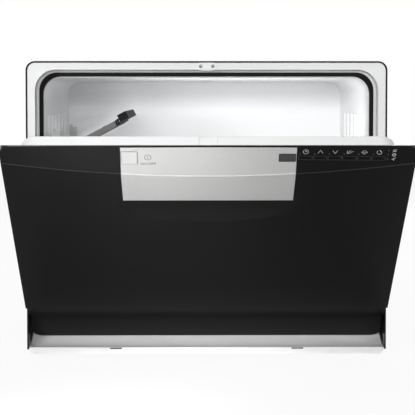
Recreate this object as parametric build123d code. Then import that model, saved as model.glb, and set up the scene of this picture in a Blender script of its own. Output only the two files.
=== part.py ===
from build123d import *
import math
import os

# A countertop dishwasher, with its door half open. Millimetres, +Z up. The shapes are drawn from the
# cabinet's front plane (y = 0, +y to the rear) and the counter (z = 0), centred on x = 0.

# ---- overall ----
BODY_W = 545.0            # casing width
BODY_H = 447.0            # counter to the casing's top
BODY_D = 480.0            # front plane to the rear cover's seat
DOOR_ANGLE = 45.0         # how far the door stands open
FIT = 0.3                 # gap between pieces that seat on each other
RUN = 0.6                 # gap beside a piece that moves
TOUCH = 0.02              # gap between separate solids of one piece

# ---- casing ----
SHEET = 1.0               # sheet of the casing and rear cover
CASING_R = 14.0           # corner radius of the casing
CASING_BOTTOM = 10.0      # its lower edge above the counter
CASING_LEAD = 1.0         # how far it stands before the front plane
HEM_T = 2.2               # folded front edge, thickness
HEM_D = 12.0              # folded front edge, depth
BACK_FLANGE = 12.0        # return flange at the rear
EMBOSS = 3.0              # raised panel of the rear cover

# ---- hinge and door ----
HINGE_Z = 88.0            # hinge axis above the counter, on the front plane
DOOR_T = 20.0             # outer face of the closed door before the front plane
DOOR_GAP = 3.0            # door's rear rim before the front plane
DOOR_SET = 2.0            # closed door's top edge below the casing's top
DOOR_BOTTOM = 18.0        # bottom edge, door closed
DOOR_TOP_R = 12.0
DOOR_BOTTOM_R = 16.0
NOTCH_RISE = 2.0          # above the hinge axis, where the door narrows
NOTCH_W = 4.0             # by how much, on each side
DOOR_WALL = 2.5
CREASE_DROP = 53.5        # crease below the top edge at the middle
CREASE_SAG = 26.0         # how much higher the crease is at the sides
BAND_LEAN = 6.0           # how far the band above the crease leans back at the middle

# ---- control band ----
FASCIA_HALF = 115.2
FASCIA_BULGE = 0.6        # wider by this at the crease
FASCIA_DROP = 103.5       # bottom edge below the door's top edge
FASCIA_TOP_GAP = 3.5      # below the door's top edge
FASCIA_T = 2.0
SEAT_WALL = 1.6           # wall round the fascia inside the door
FASCIA_LIP = 6.0          # depth of the grip lip at its bottom edge
SCOOP_HALF = 126.0        # finger recess below the fascia: half width, depth, height
SCOOP_DEPTH = 14.0
SCOOP_DROP = 47.0
SCOOP_UNDER = 14.0        # how far it runs up behind the fascia
BUTTON_DROP = 21.0        # button row below the door's top edge
BUTTON_W = 16.6
BUTTON_H = 5.0
BUTTON_X0 = 126.8
BUTTON_PITCH = 19.2
BUTTON_COUNT = 6
BUTTON_PROUD = 0.6
BUTTON_TRAVEL = 1.0
POWER_X = -103.8
POWER_SIZE = 20.8
DISPLAY_X = 103.4
DISPLAY_W = 21.8
DISPLAY_H = 13.0
BOARD_DEPTH = 7.0         # control board behind the band's face at the fascia's middle
BOARD_T = 1.6
BOARD_H = 34.0
BOARD_DROP = 9.5          # its middle below the button row

# ---- door liner ----
LINER_SIDE = 22.0         # its side walls from the door's side edges
LINER_REACH = 25.0        # inner face behind the front plane, door closed
LINER_U0 = 10.0           # bottom wall above the hinge axis
LINER_DROP = 22.0         # top wall below the door's top edge
LINER_R = 20.0
LINER_FOOT_R = 8.0
LINER_WALL = 2.0
LATCH_SLOT_W = 25.0
LATCH_SLOT_D = 13.0
CLAW_Y = 4.0              # pivot of the latch claw behind the front plane, door closed
CLAW_DROP = 9.0           # and below the slot
CLAW_PIN_R = 1.5

# ---- dispenser ----
DISPENSER_X0, DISPENSER_X1 = -95.0, 75.0
DISPENSER_U0, DISPENSER_U1 = 95.0, 195.0
DISPENSER_PROUD = 3.0
DISPENSER_DEEP = 22.0
CUP_W, CUP_H = 84.0, 64.0
LID_T = 2.5
LID_SWING = 95.0
CAP_R = 19.0

# ---- front frame, gasket, tub ----
FRAME_SIDE = 13.7         # casing's side to the frame's stepped mouth
FRAME_HEAD = 13.0         # and casing's top to it
RECESS_R = 31.0
FRAME_T = 3.0
FRAME_WALL = 2.2
FRAME_FOOT = 19.0         # frame's legs end this high above the hinge axis
GASKET_GAP = 0.5          # closed door to gasket
GASKET_D = 8.5
GASKET_SIDE = 9.2         # width of the gasket at the sides
GASKET_HEAD = 9.7         # and at the top
MOUTH_R = 27.0
TUB_FOOT_R = 9.0          # lower corners of the tub
TUB_FLOOR = 97.0
TUB_REAR = 385.0
TUB_TAPER = 3.0
TUB_WALL = 2.2
TUB_BACK_R = 24.0
LEDGE_W = 20.0            # roller rails along both sides
LEDGE_H = 16.0

# ---- base ----
TRAY_SIDE_GAP = 3.5       # casing's side to the tray's lip
TRAY_BOTTOM = 3.0
TRAY_WALL = 3.0
LIP_TOP = 13.0
LIP_R = 7.5
TRAY_SIDE = 60.0          # height of the tray's side walls
TRAY_REAR = 26.0          # and of its rear wall
BRACKET_SEAT = 14.0       # raised seats for the hinge brackets
SWING_GAP = 3.2           # between the door's foot and the hollow it swings through
FOOT_R = 15.0
FOOT_INSET = 40.0         # feet from the front plane and the rear

# ---- hinge parts ----
PIN_R = 3.0
ARM_T = 3.0
ARM_SIDE = 18.5           # casing's side to the inner face of the hinge arm
ARM_TOP_U = 130.0
BRACKET_SIDE = 11.0       # casing's side to the inner face of the hinge bracket
BRACKET_T = 3.0
TAIL_Y, TAIL_Z = 25.0, -5.0   # spring eye of the hinge arm from the axis, door closed
SPRING_R = 4.0
ANCHOR_Y, ANCHOR_Z = 250.0, 78.0   # spring post on the tray

# ---- wash system ----
SUMP_Y = 212.0
SUMP_R = 76.0
SUMP_DEPTH = 36.0
WELL_X = 44.0
WELL_R = 31.0
WELL_DEPTH = 66.0
SUMP_WALL = 2.5
HUB_R = 13.0
HUB_TOP = 113.5
ARM_REACH = 163.0
ARM_W = 34.0
ARM_H = 13.0
FILTER_R = 92.0
CUP_R = 27.0
SALT_X, SALT_Y, SALT_R = -165.0, 106.0, 27.0
FLOAT_Y, FLOAT_R = 100.0, 14.0
FLOAT_GAP = 26.6          # its middle from the roller rail
FLOAT_TRAVEL = 6.0

# ---- basket ----
BASKET_SIDE = 12.6        # from the tub's mouth to the basket's sides
BASKET_FRONT, BASKET_BACK = 46.0, 368.0
BASKET_FLOOR = 141.0
BASKET_RIM = 240.0
RIM_R = 2.4
WIRE_R = 1.6
TINE_H = 62.0
WELD = 0.4                # how far welded wires sink into each other
ROLLER_R = 10.7
ROLLER_W = 8.0
ROLLER_INSET = 8.0        # inner face from the basket's side
AXLE_R = 2.4
FRONT_AXLE_Y, REAR_AXLE_Y = 104.0, 326.0
SHELF_Z = 306.0
SHELF_INSET = 5.0         # its pivots from the basket's side
SHELF_L = 122.0
SHELF_TILT = 28.0
SHELF_Y0, SHELF_Y1 = 72.0, 318.0
CUTLERY_GAP, CUTLERY_W = 11.0, 78.0
CUTLERY_Y0, CUTLERY_Y1 = 62.0, 300.0
CUTLERY_H = 105.0
CUTLERY_LIFT = 120.0
SHELF_FOLD = 32.0         # how much further the cup shelf folds up
BASKET_TRAVEL = 55.0      # clear of the half-open door

# ---- connections at the rear ----
INLET_X, INLET_Z = 205.0, 62.0
DRAIN_X, DRAIN_Z = -205.0, 62.0
GLAND_X, GLAND_Z = 120.0, 40.0
THREAD_R = 13.2           # G3/4 pipe thread, outside
SPIGOT_R = 9.5
SPIGOT_OUT = 24.0

# ---- worked out ----
DOOR_FACE = -DOOR_T
HALF_W = BODY_W / 2
DOOR_TOP = BODY_H - DOOR_SET
LOWER_HALF = HALF_W - NOTCH_W
NOTCH_Z = HINGE_Z + NOTCH_RISE
CREASE_Z = DOOR_TOP - CREASE_DROP
BAND_RISE = DOOR_TOP - CREASE_Z
BEVEL = DOOR_T - BAND_LEAN - DOOR_GAP      # the top edge slopes back and down by this much
BAND_TILT = math.atan2(BAND_LEAN, BAND_RISE)
BAND_SAG = CREASE_SAG * math.sin(BAND_TILT)
BAND_R = (HALF_W ** 2 + BAND_SAG ** 2) / (2 * BAND_SAG)
BUTTON_Z = DOOR_TOP - BUTTON_DROP
FASCIA_BOTTOM = DOOR_TOP - FASCIA_DROP
FASCIA_TOP = DOOR_TOP - FASCIA_TOP_GAP
LINER_BOTTOM = HINGE_Z + LINER_U0
LINER_TOP = DOOR_TOP - LINER_DROP
LINER_HALF = HALF_W - LINER_SIDE
SILL_HALF = LINER_HALF
RECESS_HALF = HALF_W - FRAME_SIDE
RECESS_TOP = BODY_H - FRAME_HEAD
MOUTH_HALF = RECESS_HALF - GASKET_SIDE
MOUTH_TOP = RECESS_TOP - GASKET_HEAD
TRAY_HALF = HALF_W - TRAY_SIDE_GAP
ARM_X = HALF_W - ARM_SIDE
BRACKET_X = HALF_W - BRACKET_SIDE
BASKET_HALF = MOUTH_HALF - BASKET_SIDE
ROLLER_X = BASKET_HALF - ROLLER_INSET
SHELF_X = SHELF_INSET - BASKET_HALF
CUTLERY_X1 = BASKET_HALF - CUTLERY_GAP
CUTLERY_X0 = CUTLERY_X1 - CUTLERY_W
FRAME_HALF = HALF_W - HEM_T - FIT
FRAME_TOP = BODY_H - HEM_T - FIT
FRAME_BOTTOM = HINGE_Z + FRAME_FOOT
GASKET_Y0 = LINER_REACH + GASKET_GAP
GASKET_Y1 = GASKET_Y0 + GASKET_D
FLANGE_Y = GASKET_Y1 + FIT
TUB_FRONT = FLANGE_Y + FRAME_T + FIT
SWING_R = math.hypot(DOOR_T, HINGE_Z - DOOR_BOTTOM) + SWING_GAP
LEDGE_TOP = TUB_FLOOR + LEDGE_H
LEDGE_X = MOUTH_HALF - TUB_TAPER - LEDGE_W
FLOAT_X = LEDGE_X - FLOAT_GAP
AXLE_Z = LEDGE_TOP + ROLLER_R + FIT
CLAW_Z = LINER_TOP - LATCH_SLOT_D - CLAW_DROP
CROSS_Z = BASKET_FLOOR - 2 * WIRE_R + WELD
FOOT_WIRE_R = WIRE_R + 0.3


def block(x0, x1, y0, y1, z0, z1):
    """A box between two corners."""
    return Pos((x0 + x1) / 2, (y0 + y1) / 2, (z0 + z1) / 2) * Box(x1 - x0, y1 - y0, z1 - z0)


def rod(start, end, radius):
    """A round bar between two points."""
    run = Vector(*end) - Vector(*start)
    foot = (Align.CENTER, Align.CENTER, Align.MIN)
    return Plane(origin=start, z_dir=run) * Cylinder(radius, run.length, align=foot)


def slab(face, y0, y1):
    """A plate whose outline is drawn in x and z, between two depths."""
    return extrude(Plane.XZ.offset(-y1) * face, y1 - y0)


def strip(face, x0, x1):
    """A bar whose section is drawn in y and z, between two widths."""
    return extrude(Plane.YZ.offset(x0) * face, x1 - x0)


def arch(half, z0, z1, radius):
    """An outline with square feet and two round top corners."""
    face = Pos(0, (z0 + z1) / 2) * Rectangle(2 * half, z1 - z0)
    return fillet(face.vertices().group_by(Axis.Y)[-1], radius)


def panel(x0, x1, z0, z1, radius):
    """An outline with four round corners."""
    return Pos((x0 + x1) / 2, (z0 + z1) / 2) * RectangleRounded(x1 - x0, z1 - z0, radius)


def spread(start, stop, count):
    """Evenly spaced places from one end to the other."""
    return [start + (stop - start) * i / (count - 1) for i in range(count)]


def both(shape):
    """A piece and its twin on the other side."""
    return shape + mirror(shape, Plane.YZ)


# ---------------------------------------------------------------- casing and base

def casing():
    """Top and sides folded from one sheet, with a thick front edge and a flange at the rear."""
    front = -CASING_LEAD
    outer = arch(HALF_W, CASING_BOTTOM, BODY_H, CASING_R)
    inner = arch(HALF_W - SHEET, 0, BODY_H - SHEET, CASING_R - SHEET)
    hem = arch(HALF_W - HEM_T, 0, BODY_H - HEM_T, CASING_R - HEM_T)
    mouth = arch(HALF_W - BACK_FLANGE, 0, BODY_H - BACK_FLANGE, CASING_R)
    wrap = slab(outer - inner, front, BODY_D)
    return wrap + slab(outer - hem, front, front + HEM_D) + slab(outer - mouth, BODY_D - SHEET, BODY_D)


def rear_cover():
    """Pressed back plate with a raised panel, louvres, and holes for the connections."""
    plate = slab(arch(HALF_W - FIT, CASING_BOTTOM, BODY_H - FIT, CASING_R), BODY_D, BODY_D + SHEET)
    panel_z0, panel_z1 = 110, BODY_H - 45
    inset = 40
    raised = slab(panel(inset - HALF_W, HALF_W - inset, panel_z0, panel_z1, 18), BODY_D, BODY_D + EMBOSS)
    dish = slab(panel(inset - HALF_W + 2, HALF_W - inset - 2, panel_z0 + 2, panel_z1 - 2, 16),
                BODY_D - 1, BODY_D + EMBOSS - SHEET)
    cover = plate + raised - dish
    for row in range(6):
        z = panel_z1 - 72 + row * 9
        cover -= block(-90, 90, BODY_D - 1, BODY_D + EMBOSS + 1, z, z + 3.5)
    for x, z, radius in ((INLET_X, INLET_Z, 17), (DRAIN_X, DRAIN_Z, SPIGOT_R + 2), (GLAND_X, GLAND_Z, 8)):
        cover -= rod((x, BODY_D - 1, z), (x, BODY_D + 2, z), radius + FIT)
    return cover


def base_tray():
    """Moulded tray with the front lip and the hollow that the door's foot swings through."""
    outer = SWING_R + TRAY_WALL
    wall = Pos(0, HINGE_Z) * (Circle(outer) - Circle(SWING_R))
    wall &= Pos(6 + outer / 2, HINGE_Z - 6 - HINGE_Z / 2) * Rectangle(outer, HINGE_Z)
    tray = strip(wall, -TRAY_HALF, TRAY_HALF)
    lip = Pos(0, (TRAY_BOTTOM + LIP_TOP) / 2) * Rectangle(2 * TRAY_HALF, LIP_TOP - TRAY_BOTTOM)
    lip = fillet(lip.vertices().group_by(Axis.Y)[0], LIP_R)
    tray += slab(lip, 0, 10)
    flat = TRAY_HALF - LIP_R
    tray += block(-flat, flat, 0, outer, TRAY_BOTTOM, TRAY_BOTTOM + TRAY_WALL)
    side = HALF_W - SHEET - FIT
    low = CASING_BOTTOM + 1
    skin = Polyline((-side, TRAY_SIDE), (-side, low), (-flat, TRAY_BOTTOM), (flat, TRAY_BOTTOM), (side, low),
                    (side, TRAY_SIDE), close=True)
    t = TRAY_WALL
    space = Polyline((t - side, TRAY_SIDE + 1), (t - side, low + 1), (-flat, TRAY_BOTTOM + t),
                     (flat, TRAY_BOTTOM + t), (side - t, low + 1), (side - t, TRAY_SIDE + 1), close=True)
    rear = BODY_D - 4
    tray += slab(make_face(skin), outer - t, rear) - slab(make_face(space), outer - t - 1, rear - t)
    tray -= block(-flat, flat, rear - t - 1, rear + 1, TRAY_REAR, TRAY_SIDE + 1)
    post = block(ARM_X - 3, side - 1, ANCHOR_Y, ANCHOR_Y + 5, low + 2, ANCHOR_Z + 5)
    seat = block(BRACKET_X - 22, BRACKET_X + 5, outer + 1, outer + 41, TRAY_BOTTOM + 1, BRACKET_SEAT)
    tray += both(post + seat)
    for x in (-138, 138):
        tray -= block(x - 9, x + 9, -1, 4, 10.2, 12.2)
    return tray


def feet():
    """Four rubber feet pushed into the tray."""
    group = Part()
    for x in (FOOT_INSET - TRAY_HALF, TRAY_HALF - FOOT_INSET):
        for y in (FOOT_INSET, BODY_D - FOOT_INSET):
            group += Pos(x, y, TRAY_BOTTOM / 2) * Cylinder(FOOT_R, TRAY_BOTTOM)
    return group


# ---------------------------------------------------------------- front of the cabinet

def front_frame():
    """White frame: a narrow face, a stepped recess and the flange that carries the gasket."""
    face = arch(FRAME_HALF, FRAME_BOTTOM, FRAME_TOP, CASING_R - HEM_T)
    recess = arch(RECESS_HALF, 0, RECESS_TOP, RECESS_R)
    wall = arch(RECESS_HALF + FRAME_WALL, FRAME_BOTTOM, RECESS_TOP + FRAME_WALL, RECESS_R + FRAME_WALL)
    mouth = arch(MOUTH_HALF, 0, MOUTH_TOP, MOUTH_R)
    frame = slab(face - recess, 0, FRAME_T) + slab(wall - recess, 0, FLANGE_Y + FRAME_T)
    return frame + slab(wall - mouth, FLANGE_Y, FLANGE_Y + FRAME_T)


def door_sill():
    """White bar below the tub's mouth, between the two hinge arms."""
    return (block(-SILL_HALF, SILL_HALF, GASKET_Y0 + 3, TUB_FRONT - FIT, HINGE_Z - 1, TUB_FLOOR - 2)
            + block(-SILL_HALF, SILL_HALF, FLANGE_Y, TUB_FRONT - FIT, HINGE_Z - 1, TUB_FLOOR))


def door_gasket():
    """Black seal round the top and sides of the mouth, and a lip seal on the sill."""
    outer = arch(RECESS_HALF - FIT, FRAME_BOTTOM, RECESS_TOP - FIT, RECESS_R - FIT)
    inner = arch(MOUTH_HALF, 0, MOUTH_TOP, MOUTH_R)
    inset = arch(RECESS_HALF - 3, FRAME_BOTTOM, RECESS_TOP - 3, RECESS_R - 3)
    hollow = slab(inset - arch(MOUTH_HALF + 3, 0, MOUTH_TOP + 3, MOUTH_R + 3), GASKET_Y0 + 2.5, GASKET_Y1)
    seal = slab(outer - inner, GASKET_Y0, GASKET_Y1) - hollow
    lip = Polyline((GASKET_Y1, TUB_FLOOR - 1.7), (GASKET_Y1, TUB_FLOOR + 6), (GASKET_Y0 + 0.5, TUB_FLOOR + 9),
                   (GASKET_Y0 + 0.5, TUB_FLOOR + 7.5), (GASKET_Y0 + 5, TUB_FLOOR + 3),
                   (GASKET_Y0 + 5, TUB_FLOOR - 1.7), close=True)
    return seal + strip(make_face(lip), -MOUTH_HALF + 4, MOUTH_HALF - 4)


def latch_striker():
    """Bent steel plate on the frame with the loop that the door's claw takes hold of."""
    flange = block(-14, 14, -1, 0, RECESS_TOP - 1.2, FRAME_TOP - 1.5)
    tab = block(-10, 10, -1, 24, RECESS_TOP - 1.5, RECESS_TOP - FIT)
    legs = both(block(6.5, 8.5, 9, 13, LINER_TOP - 10, RECESS_TOP - 1))
    return flange + tab + legs + block(-8.5, 8.5, 9, 13, LINER_TOP - 10, LINER_TOP - 7)


def tub_hollow(grow):
    """The inside of the tub, slightly tapered to the rear, its walls grown by a distance."""
    def section(half, top, radius, y):
        face = arch(half + grow, TUB_FLOOR - grow, top + grow, radius + grow)
        face = fillet(face.vertices().group_by(Axis.Y)[0], TUB_FOOT_R + grow)
        return (Plane.XZ.offset(-y) * face).face()

    ceiling = MOUTH_TOP - 1.8
    first = section(MOUTH_HALF, ceiling, MOUTH_R, TUB_FRONT)
    last = section(MOUTH_HALF - TUB_TAPER, ceiling - TUB_TAPER, TUB_BACK_R, TUB_REAR + grow)
    return loft(Sketch() + [first, last], ruled=True)


def wash_tub():
    """Moulded tub with upright ribs on its side walls, and two rails that the rollers run on."""
    rim = arch(RECESS_HALF + FRAME_WALL, FRAME_BOTTOM, RECESS_TOP + FRAME_WALL, RECESS_R + FRAME_WALL)
    rim += Pos(0, (HINGE_Z - 1 + FRAME_BOTTOM) / 2) * Rectangle(2 * SILL_HALF, FRAME_BOTTOM - HINGE_Z + 3)
    tub = slab(rim, TUB_FRONT, TUB_FRONT + TUB_WALL) + tub_hollow(TUB_WALL) - tub_hollow(0)
    ribs = Part()
    for y in range(90, 360, 45):
        x = MOUTH_HALF + 1 - TUB_TAPER * (y - TUB_FRONT) / (TUB_REAR - TUB_FRONT)
        ribs += rod((x, y, LEDGE_TOP + 30), (x, y, MOUTH_TOP - 60), 3.5)
    tub += both(ribs) & tub_hollow(1)
    tub -= rod((0, SUMP_Y, TUB_FLOOR - 10), (0, SUMP_Y, TUB_FLOOR + 1), SUMP_R + FIT)
    tub -= rod((SALT_X, SALT_Y, TUB_FLOOR - 10), (SALT_X, SALT_Y, TUB_FLOOR + 1), SALT_R - 3)
    tub -= rod((FLOAT_X, FLOAT_Y, TUB_FLOOR - 10), (FLOAT_X, FLOAT_Y, TUB_FLOOR + 1), 5)
    rail = block(LEDGE_X, HALF_W, TUB_FRONT - 5, TUB_REAR + 5, 0, LEDGE_TOP)
    return Compound(tub.solids() + (both(rail) & tub_hollow(-TOUCH)).solids())


# ---------------------------------------------------------------- hinges

def hinge_brackets():
    """Steel plates standing on the tray, reaching forward to the hinge axis."""
    foot_y = SWING_R + TRAY_WALL + 1
    floor = BRACKET_SEAT + FIT
    outline = Polyline((foot_y, floor), (foot_y + 40, floor), (foot_y + 40, HINGE_Z - 10),
                       (foot_y + 10, HINGE_Z + 16), (6, HINGE_Z + 12), (-7, HINGE_Z + 5), (-7, HINGE_Z - 5),
                       (0, HINGE_Z - 8), (12, HINGE_Z - 1), (foot_y, HINGE_Z - 1), close=True)
    plate = strip(make_face(outline), BRACKET_X, BRACKET_X + BRACKET_T)
    plate -= rod((BRACKET_X - 1, 0, HINGE_Z), (BRACKET_X + 5, 0, HINGE_Z), PIN_R)
    plate += block(BRACKET_X - 18, BRACKET_X + BRACKET_T, foot_y, foot_y + 40, floor, floor + BRACKET_T)
    return both(plate)


def hinge_pins():
    """Shouldered pins fixed in the brackets; the door's arms turn on them."""
    pin = rod((ARM_X - FIT, 0, HINGE_Z), (BRACKET_X + BRACKET_T, 0, HINGE_Z), PIN_R)
    pin += rod((ARM_X - 2.5, 0, HINGE_Z), (ARM_X - FIT, 0, HINGE_Z), PIN_R + 1.5)
    pin += rod((ARM_X + ARM_T + FIT, 0, HINGE_Z), (BRACKET_X, 0, HINGE_Z), PIN_R + 2)
    return both(pin)


def hinge_arms():
    """Steel arms screwed inside the door, with an eye for the spring."""
    outline = Pos(-10.5, HINGE_Z + ARM_TOP_U / 2) * Rectangle(9, ARM_TOP_U)
    outline += Pos(0, HINGE_Z) * Circle(9.5)
    neck = Polyline((-15, HINGE_Z + 30), (-6, HINGE_Z + 20), (-6, HINGE_Z + 8.5), (0, HINGE_Z + 9.5),
                    (0, HINGE_Z - 9.5), (-9.5, HINGE_Z), (-15, HINGE_Z + 4), close=True)
    outline += make_face(neck)
    tail = Polyline((2, HINGE_Z + 9), (TAIL_Y + 3, HINGE_Z + TAIL_Z + 4), (TAIL_Y - 3, HINGE_Z + TAIL_Z - 4),
                    (-2, HINGE_Z - 9), close=True)
    outline += make_face(tail) + Pos(TAIL_Y, HINGE_Z + TAIL_Z) * Circle(4.8)
    outline -= Pos(0, HINGE_Z) * Circle(PIN_R + FIT)
    outline -= Pos(TAIL_Y, HINGE_Z + TAIL_Z) * Circle(1.6)
    arm = strip(outline, ARM_X, ARM_X + ARM_T)
    arm += block(ARM_X - 8, ARM_X + ARM_T, -15, -13, HINGE_Z + 30, HINGE_Z + ARM_TOP_U)
    return both(arm)


def turned(y, z, angle):
    """Where a point given from the hinge axis goes when the door opens by an angle."""
    a = math.radians(angle)
    return y * math.cos(a) - z * math.sin(a), HINGE_Z + y * math.sin(a) + z * math.cos(a)


def door_springs():
    """Tension springs from the arms' eyes to the tray, drawn as their outer tube with end hooks."""
    y, z = turned(TAIL_Y, TAIL_Z, DOOR_ANGLE)
    run = Vector(0, ANCHOR_Y - y, ANCHOR_Z - z)
    unit = run.normalized()
    x = ARM_X + ARM_T / 2
    eye = Vector(x, y, z)
    start = eye + unit * 12
    end = eye + unit * (run.length - 12)
    spring = rod(tuple(start), tuple(end), SPRING_R)
    spring += rod((ARM_X - 2.4, y, z), (ARM_X + ARM_T + 1, y, z), 1.3)
    aside = Vector(-ARM_T / 2 - 1.4, 0, 0)
    spring += rod(tuple(eye + aside), tuple(start + aside + unit), 1.0)
    return both(spring + rod(tuple(end), tuple(eye + unit * (run.length - FIT)), 1.2))


# ---------------------------------------------------------------- door

def crease_z(x):
    """Height of the crease at a distance from the middle, door closed."""
    return CREASE_Z + (BAND_R - math.sqrt(BAND_R ** 2 - x ** 2)) / math.sin(BAND_TILT)


def band_y(x, z):
    """Depth of the band's face above the crease, which is a shallow hollow cylinder."""
    return DOOR_FACE + max(0.0, z - crease_z(x)) * math.tan(BAND_TILT)


def on_band(x, inset=0.0):
    """A plane on the band at the button row, facing out."""
    base = Plane(origin=(x, band_y(x, BUTTON_Z), BUTTON_Z), x_dir=(1, 0, 0),
                 z_dir=(0, -BAND_RISE, BAND_LEAN))
    return base.offset(-inset)


def door_solid(inset, grow, back=-DOOR_GAP):
    """The closed door as a full solid, its face moved in and its outline grown."""
    upper = arch(HALF_W + grow, NOTCH_Z - grow, DOOR_TOP + grow, DOOR_TOP_R + grow)
    foot = Pos(0, (DOOR_BOTTOM - grow + NOTCH_Z + 20) / 2) * Rectangle(
        2 * (LOWER_HALF + grow), NOTCH_Z + 20 - DOOR_BOTTOM + grow)
    foot = fillet(foot.vertices().group_by(Axis.Y)[0], DOOR_BOTTOM_R + grow)
    front = DOOR_FACE + inset
    solid = slab(upper + foot, front, back)
    top = DOOR_TOP + grow * math.sqrt(2)
    edge = DOOR_FACE + BAND_LEAN
    beyond = Polyline((edge, top), (edge, top + 40), (40, top + 40), (40, top - 40 + edge), close=True)
    solid -= strip(make_face(beyond), -BODY_W, BODY_W)
    wide = HALF_W + 10
    bow = BAND_R - math.sqrt(BAND_R ** 2 - wide ** 2)
    line = ThreePointArc((-wide, -bow), (0, 0), (wide, -bow))
    line += Polyline((wide, -bow), (wide, -3 * DOOR_T), (-wide, -3 * DOOR_T), (-wide, -bow))
    band = Plane(origin=(0, front, CREASE_Z), x_dir=(1, 0, 0), z_dir=(0, BAND_LEAN, BAND_RISE))
    return solid - extrude(band.offset(-10) * make_face(line), 2 * BAND_RISE)


def fascia_outline(grow):
    """Outline of the silver piece, a little wider at the crease."""
    half = FASCIA_HALF + grow
    low = FASCIA_BOTTOM - grow
    high = FASCIA_TOP + grow
    wide = half + FASCIA_BULGE
    points = ((-half, low), (half, low), (wide, CREASE_Z), (half, high), (-half, high), (-wide, CREASE_Z))
    return make_face(Polyline(*points, close=True))


def scoop(grow):
    """The finger recess: an arc turned about a far upright axis, cut level above the fascia's edge."""
    turn_r = (SCOOP_HALF ** 2 + SCOOP_DEPTH ** 2) / (2 * SCOOP_DEPTH)
    arc_r = (SCOOP_DROP ** 2 + SCOOP_DEPTH ** 2) / (2 * SCOOP_DEPTH)
    axis_y = DOOR_FACE + SCOOP_DEPTH - turn_r
    far = turn_r + grow
    low = -1.3 * SCOOP_DROP
    middle = far - arc_r
    near = turn_r - 2 * SCOOP_DEPTH

    def reach(z):
        return middle + math.sqrt(arc_r ** 2 - z ** 2)

    top = SCOOP_UNDER + grow
    line = ThreePointArc((reach(low), low), (reach(low / 2), low / 2), (far, 0))
    line += Polyline((far, 0), (far, top), (near, top), (near, low), (reach(low), low))
    section = Plane(origin=(0, axis_y, FASCIA_BOTTOM), x_dir=(0, 1, 0), z_dir=(1, 0, 0)) * make_face(line)
    axis = Axis((0, axis_y, 0), (0, 0, 1))
    return revolve(section.rotate(axis, -20), axis, 40)


def button_hole(x, width, height, grow):
    """A short prism through the band, square to it."""
    return on_band(x, 8) * extrude(RectangleRounded(width + 2 * grow, height + 2 * grow, 1.5), 16)


def door_shell():
    """Black outer moulding: skin with rims, the fascia's seat and the finger recess."""
    outer = door_solid(0, 0)
    shell = outer - door_solid(DOOR_WALL, -DOOR_WALL, 0)
    seat_depth = FASCIA_T + FIT
    tray = slab(fascia_outline(FIT + SEAT_WALL), DOOR_FACE - 5, 0) & outer
    shell += tray - door_solid(seat_depth + DOOR_WALL, 0, 0)
    pocket = slab(fascia_outline(FIT), DOOR_FACE - 5, 0) - door_solid(seat_depth, 10, 5)
    shell -= pocket
    shell += (scoop(DOOR_WALL) & outer) - pocket
    shell -= scoop(0)
    for i in range(BUTTON_COUNT):
        shell -= button_hole(BUTTON_X0 + i * BUTTON_PITCH, BUTTON_W, BUTTON_H, FIT)
    shell -= button_hole(POWER_X, POWER_SIZE, POWER_SIZE, FIT)
    return shell


def control_fascia():
    """Silver piece over the door's middle; its lower lip is the handle."""
    skin = slab(fascia_outline(0), DOOR_FACE - 5, 0) & (door_solid(0, 0) - door_solid(FASCIA_T, 10, 5))
    lip = SCOOP_HALF * 0.72
    skin += block(-lip, lip, DOOR_FACE + 1, DOOR_FACE + FASCIA_LIP, FASCIA_BOTTOM, FASCIA_BOTTOM + 2.5)
    skin -= button_hole(POWER_X, POWER_SIZE, POWER_SIZE, FIT)
    return skin - button_hole(DISPLAY_X, DISPLAY_W, DISPLAY_H, FIT)


def display_window():
    """Dark window let into the fascia."""
    return on_band(DISPLAY_X, FASCIA_T) * extrude(RectangleRounded(DISPLAY_W, DISPLAY_H, 1.2), FASCIA_T)


def board_gap(x):
    """From the band's face at x to the control board, square to the board."""
    return BOARD_DEPTH + (band_y(0, BUTTON_Z) - band_y(x, BUTTON_Z)) * math.cos(BAND_TILT)


def control_board():
    """Circuit board behind the band, with a switch below each button."""
    plane = on_band(0, BOARD_DEPTH)
    x0, x1 = POWER_X - 22, BUTTON_X0 + 5 * BUTTON_PITCH + 16
    board = plane * (Pos((x0 + x1) / 2, -BOARD_DROP, -BOARD_T / 2) * Box(x1 - x0, BOARD_H, BOARD_T))
    for x in [POWER_X] + [BUTTON_X0 + i * BUTTON_PITCH for i in range(BUTTON_COUNT)]:
        board += plane * (Pos(x, 0, 0.9) * Box(6, 4, 1.8))
    return board


def push_button(x, width, height):
    """A key cap standing a little proud of the band."""
    depth = BUTTON_PROUD + board_gap(x) - 1.8 - BUTTON_TRAVEL - FIT
    cap = extrude(RectangleRounded(width, height, 1.2), -4) + extrude(Rectangle(3, 3), -depth)
    cap = chamfer(cap.faces().sort_by(Axis.Z)[-1].edges(), 0.3)
    return on_band(x, -BUTTON_PROUD) * cap


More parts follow.
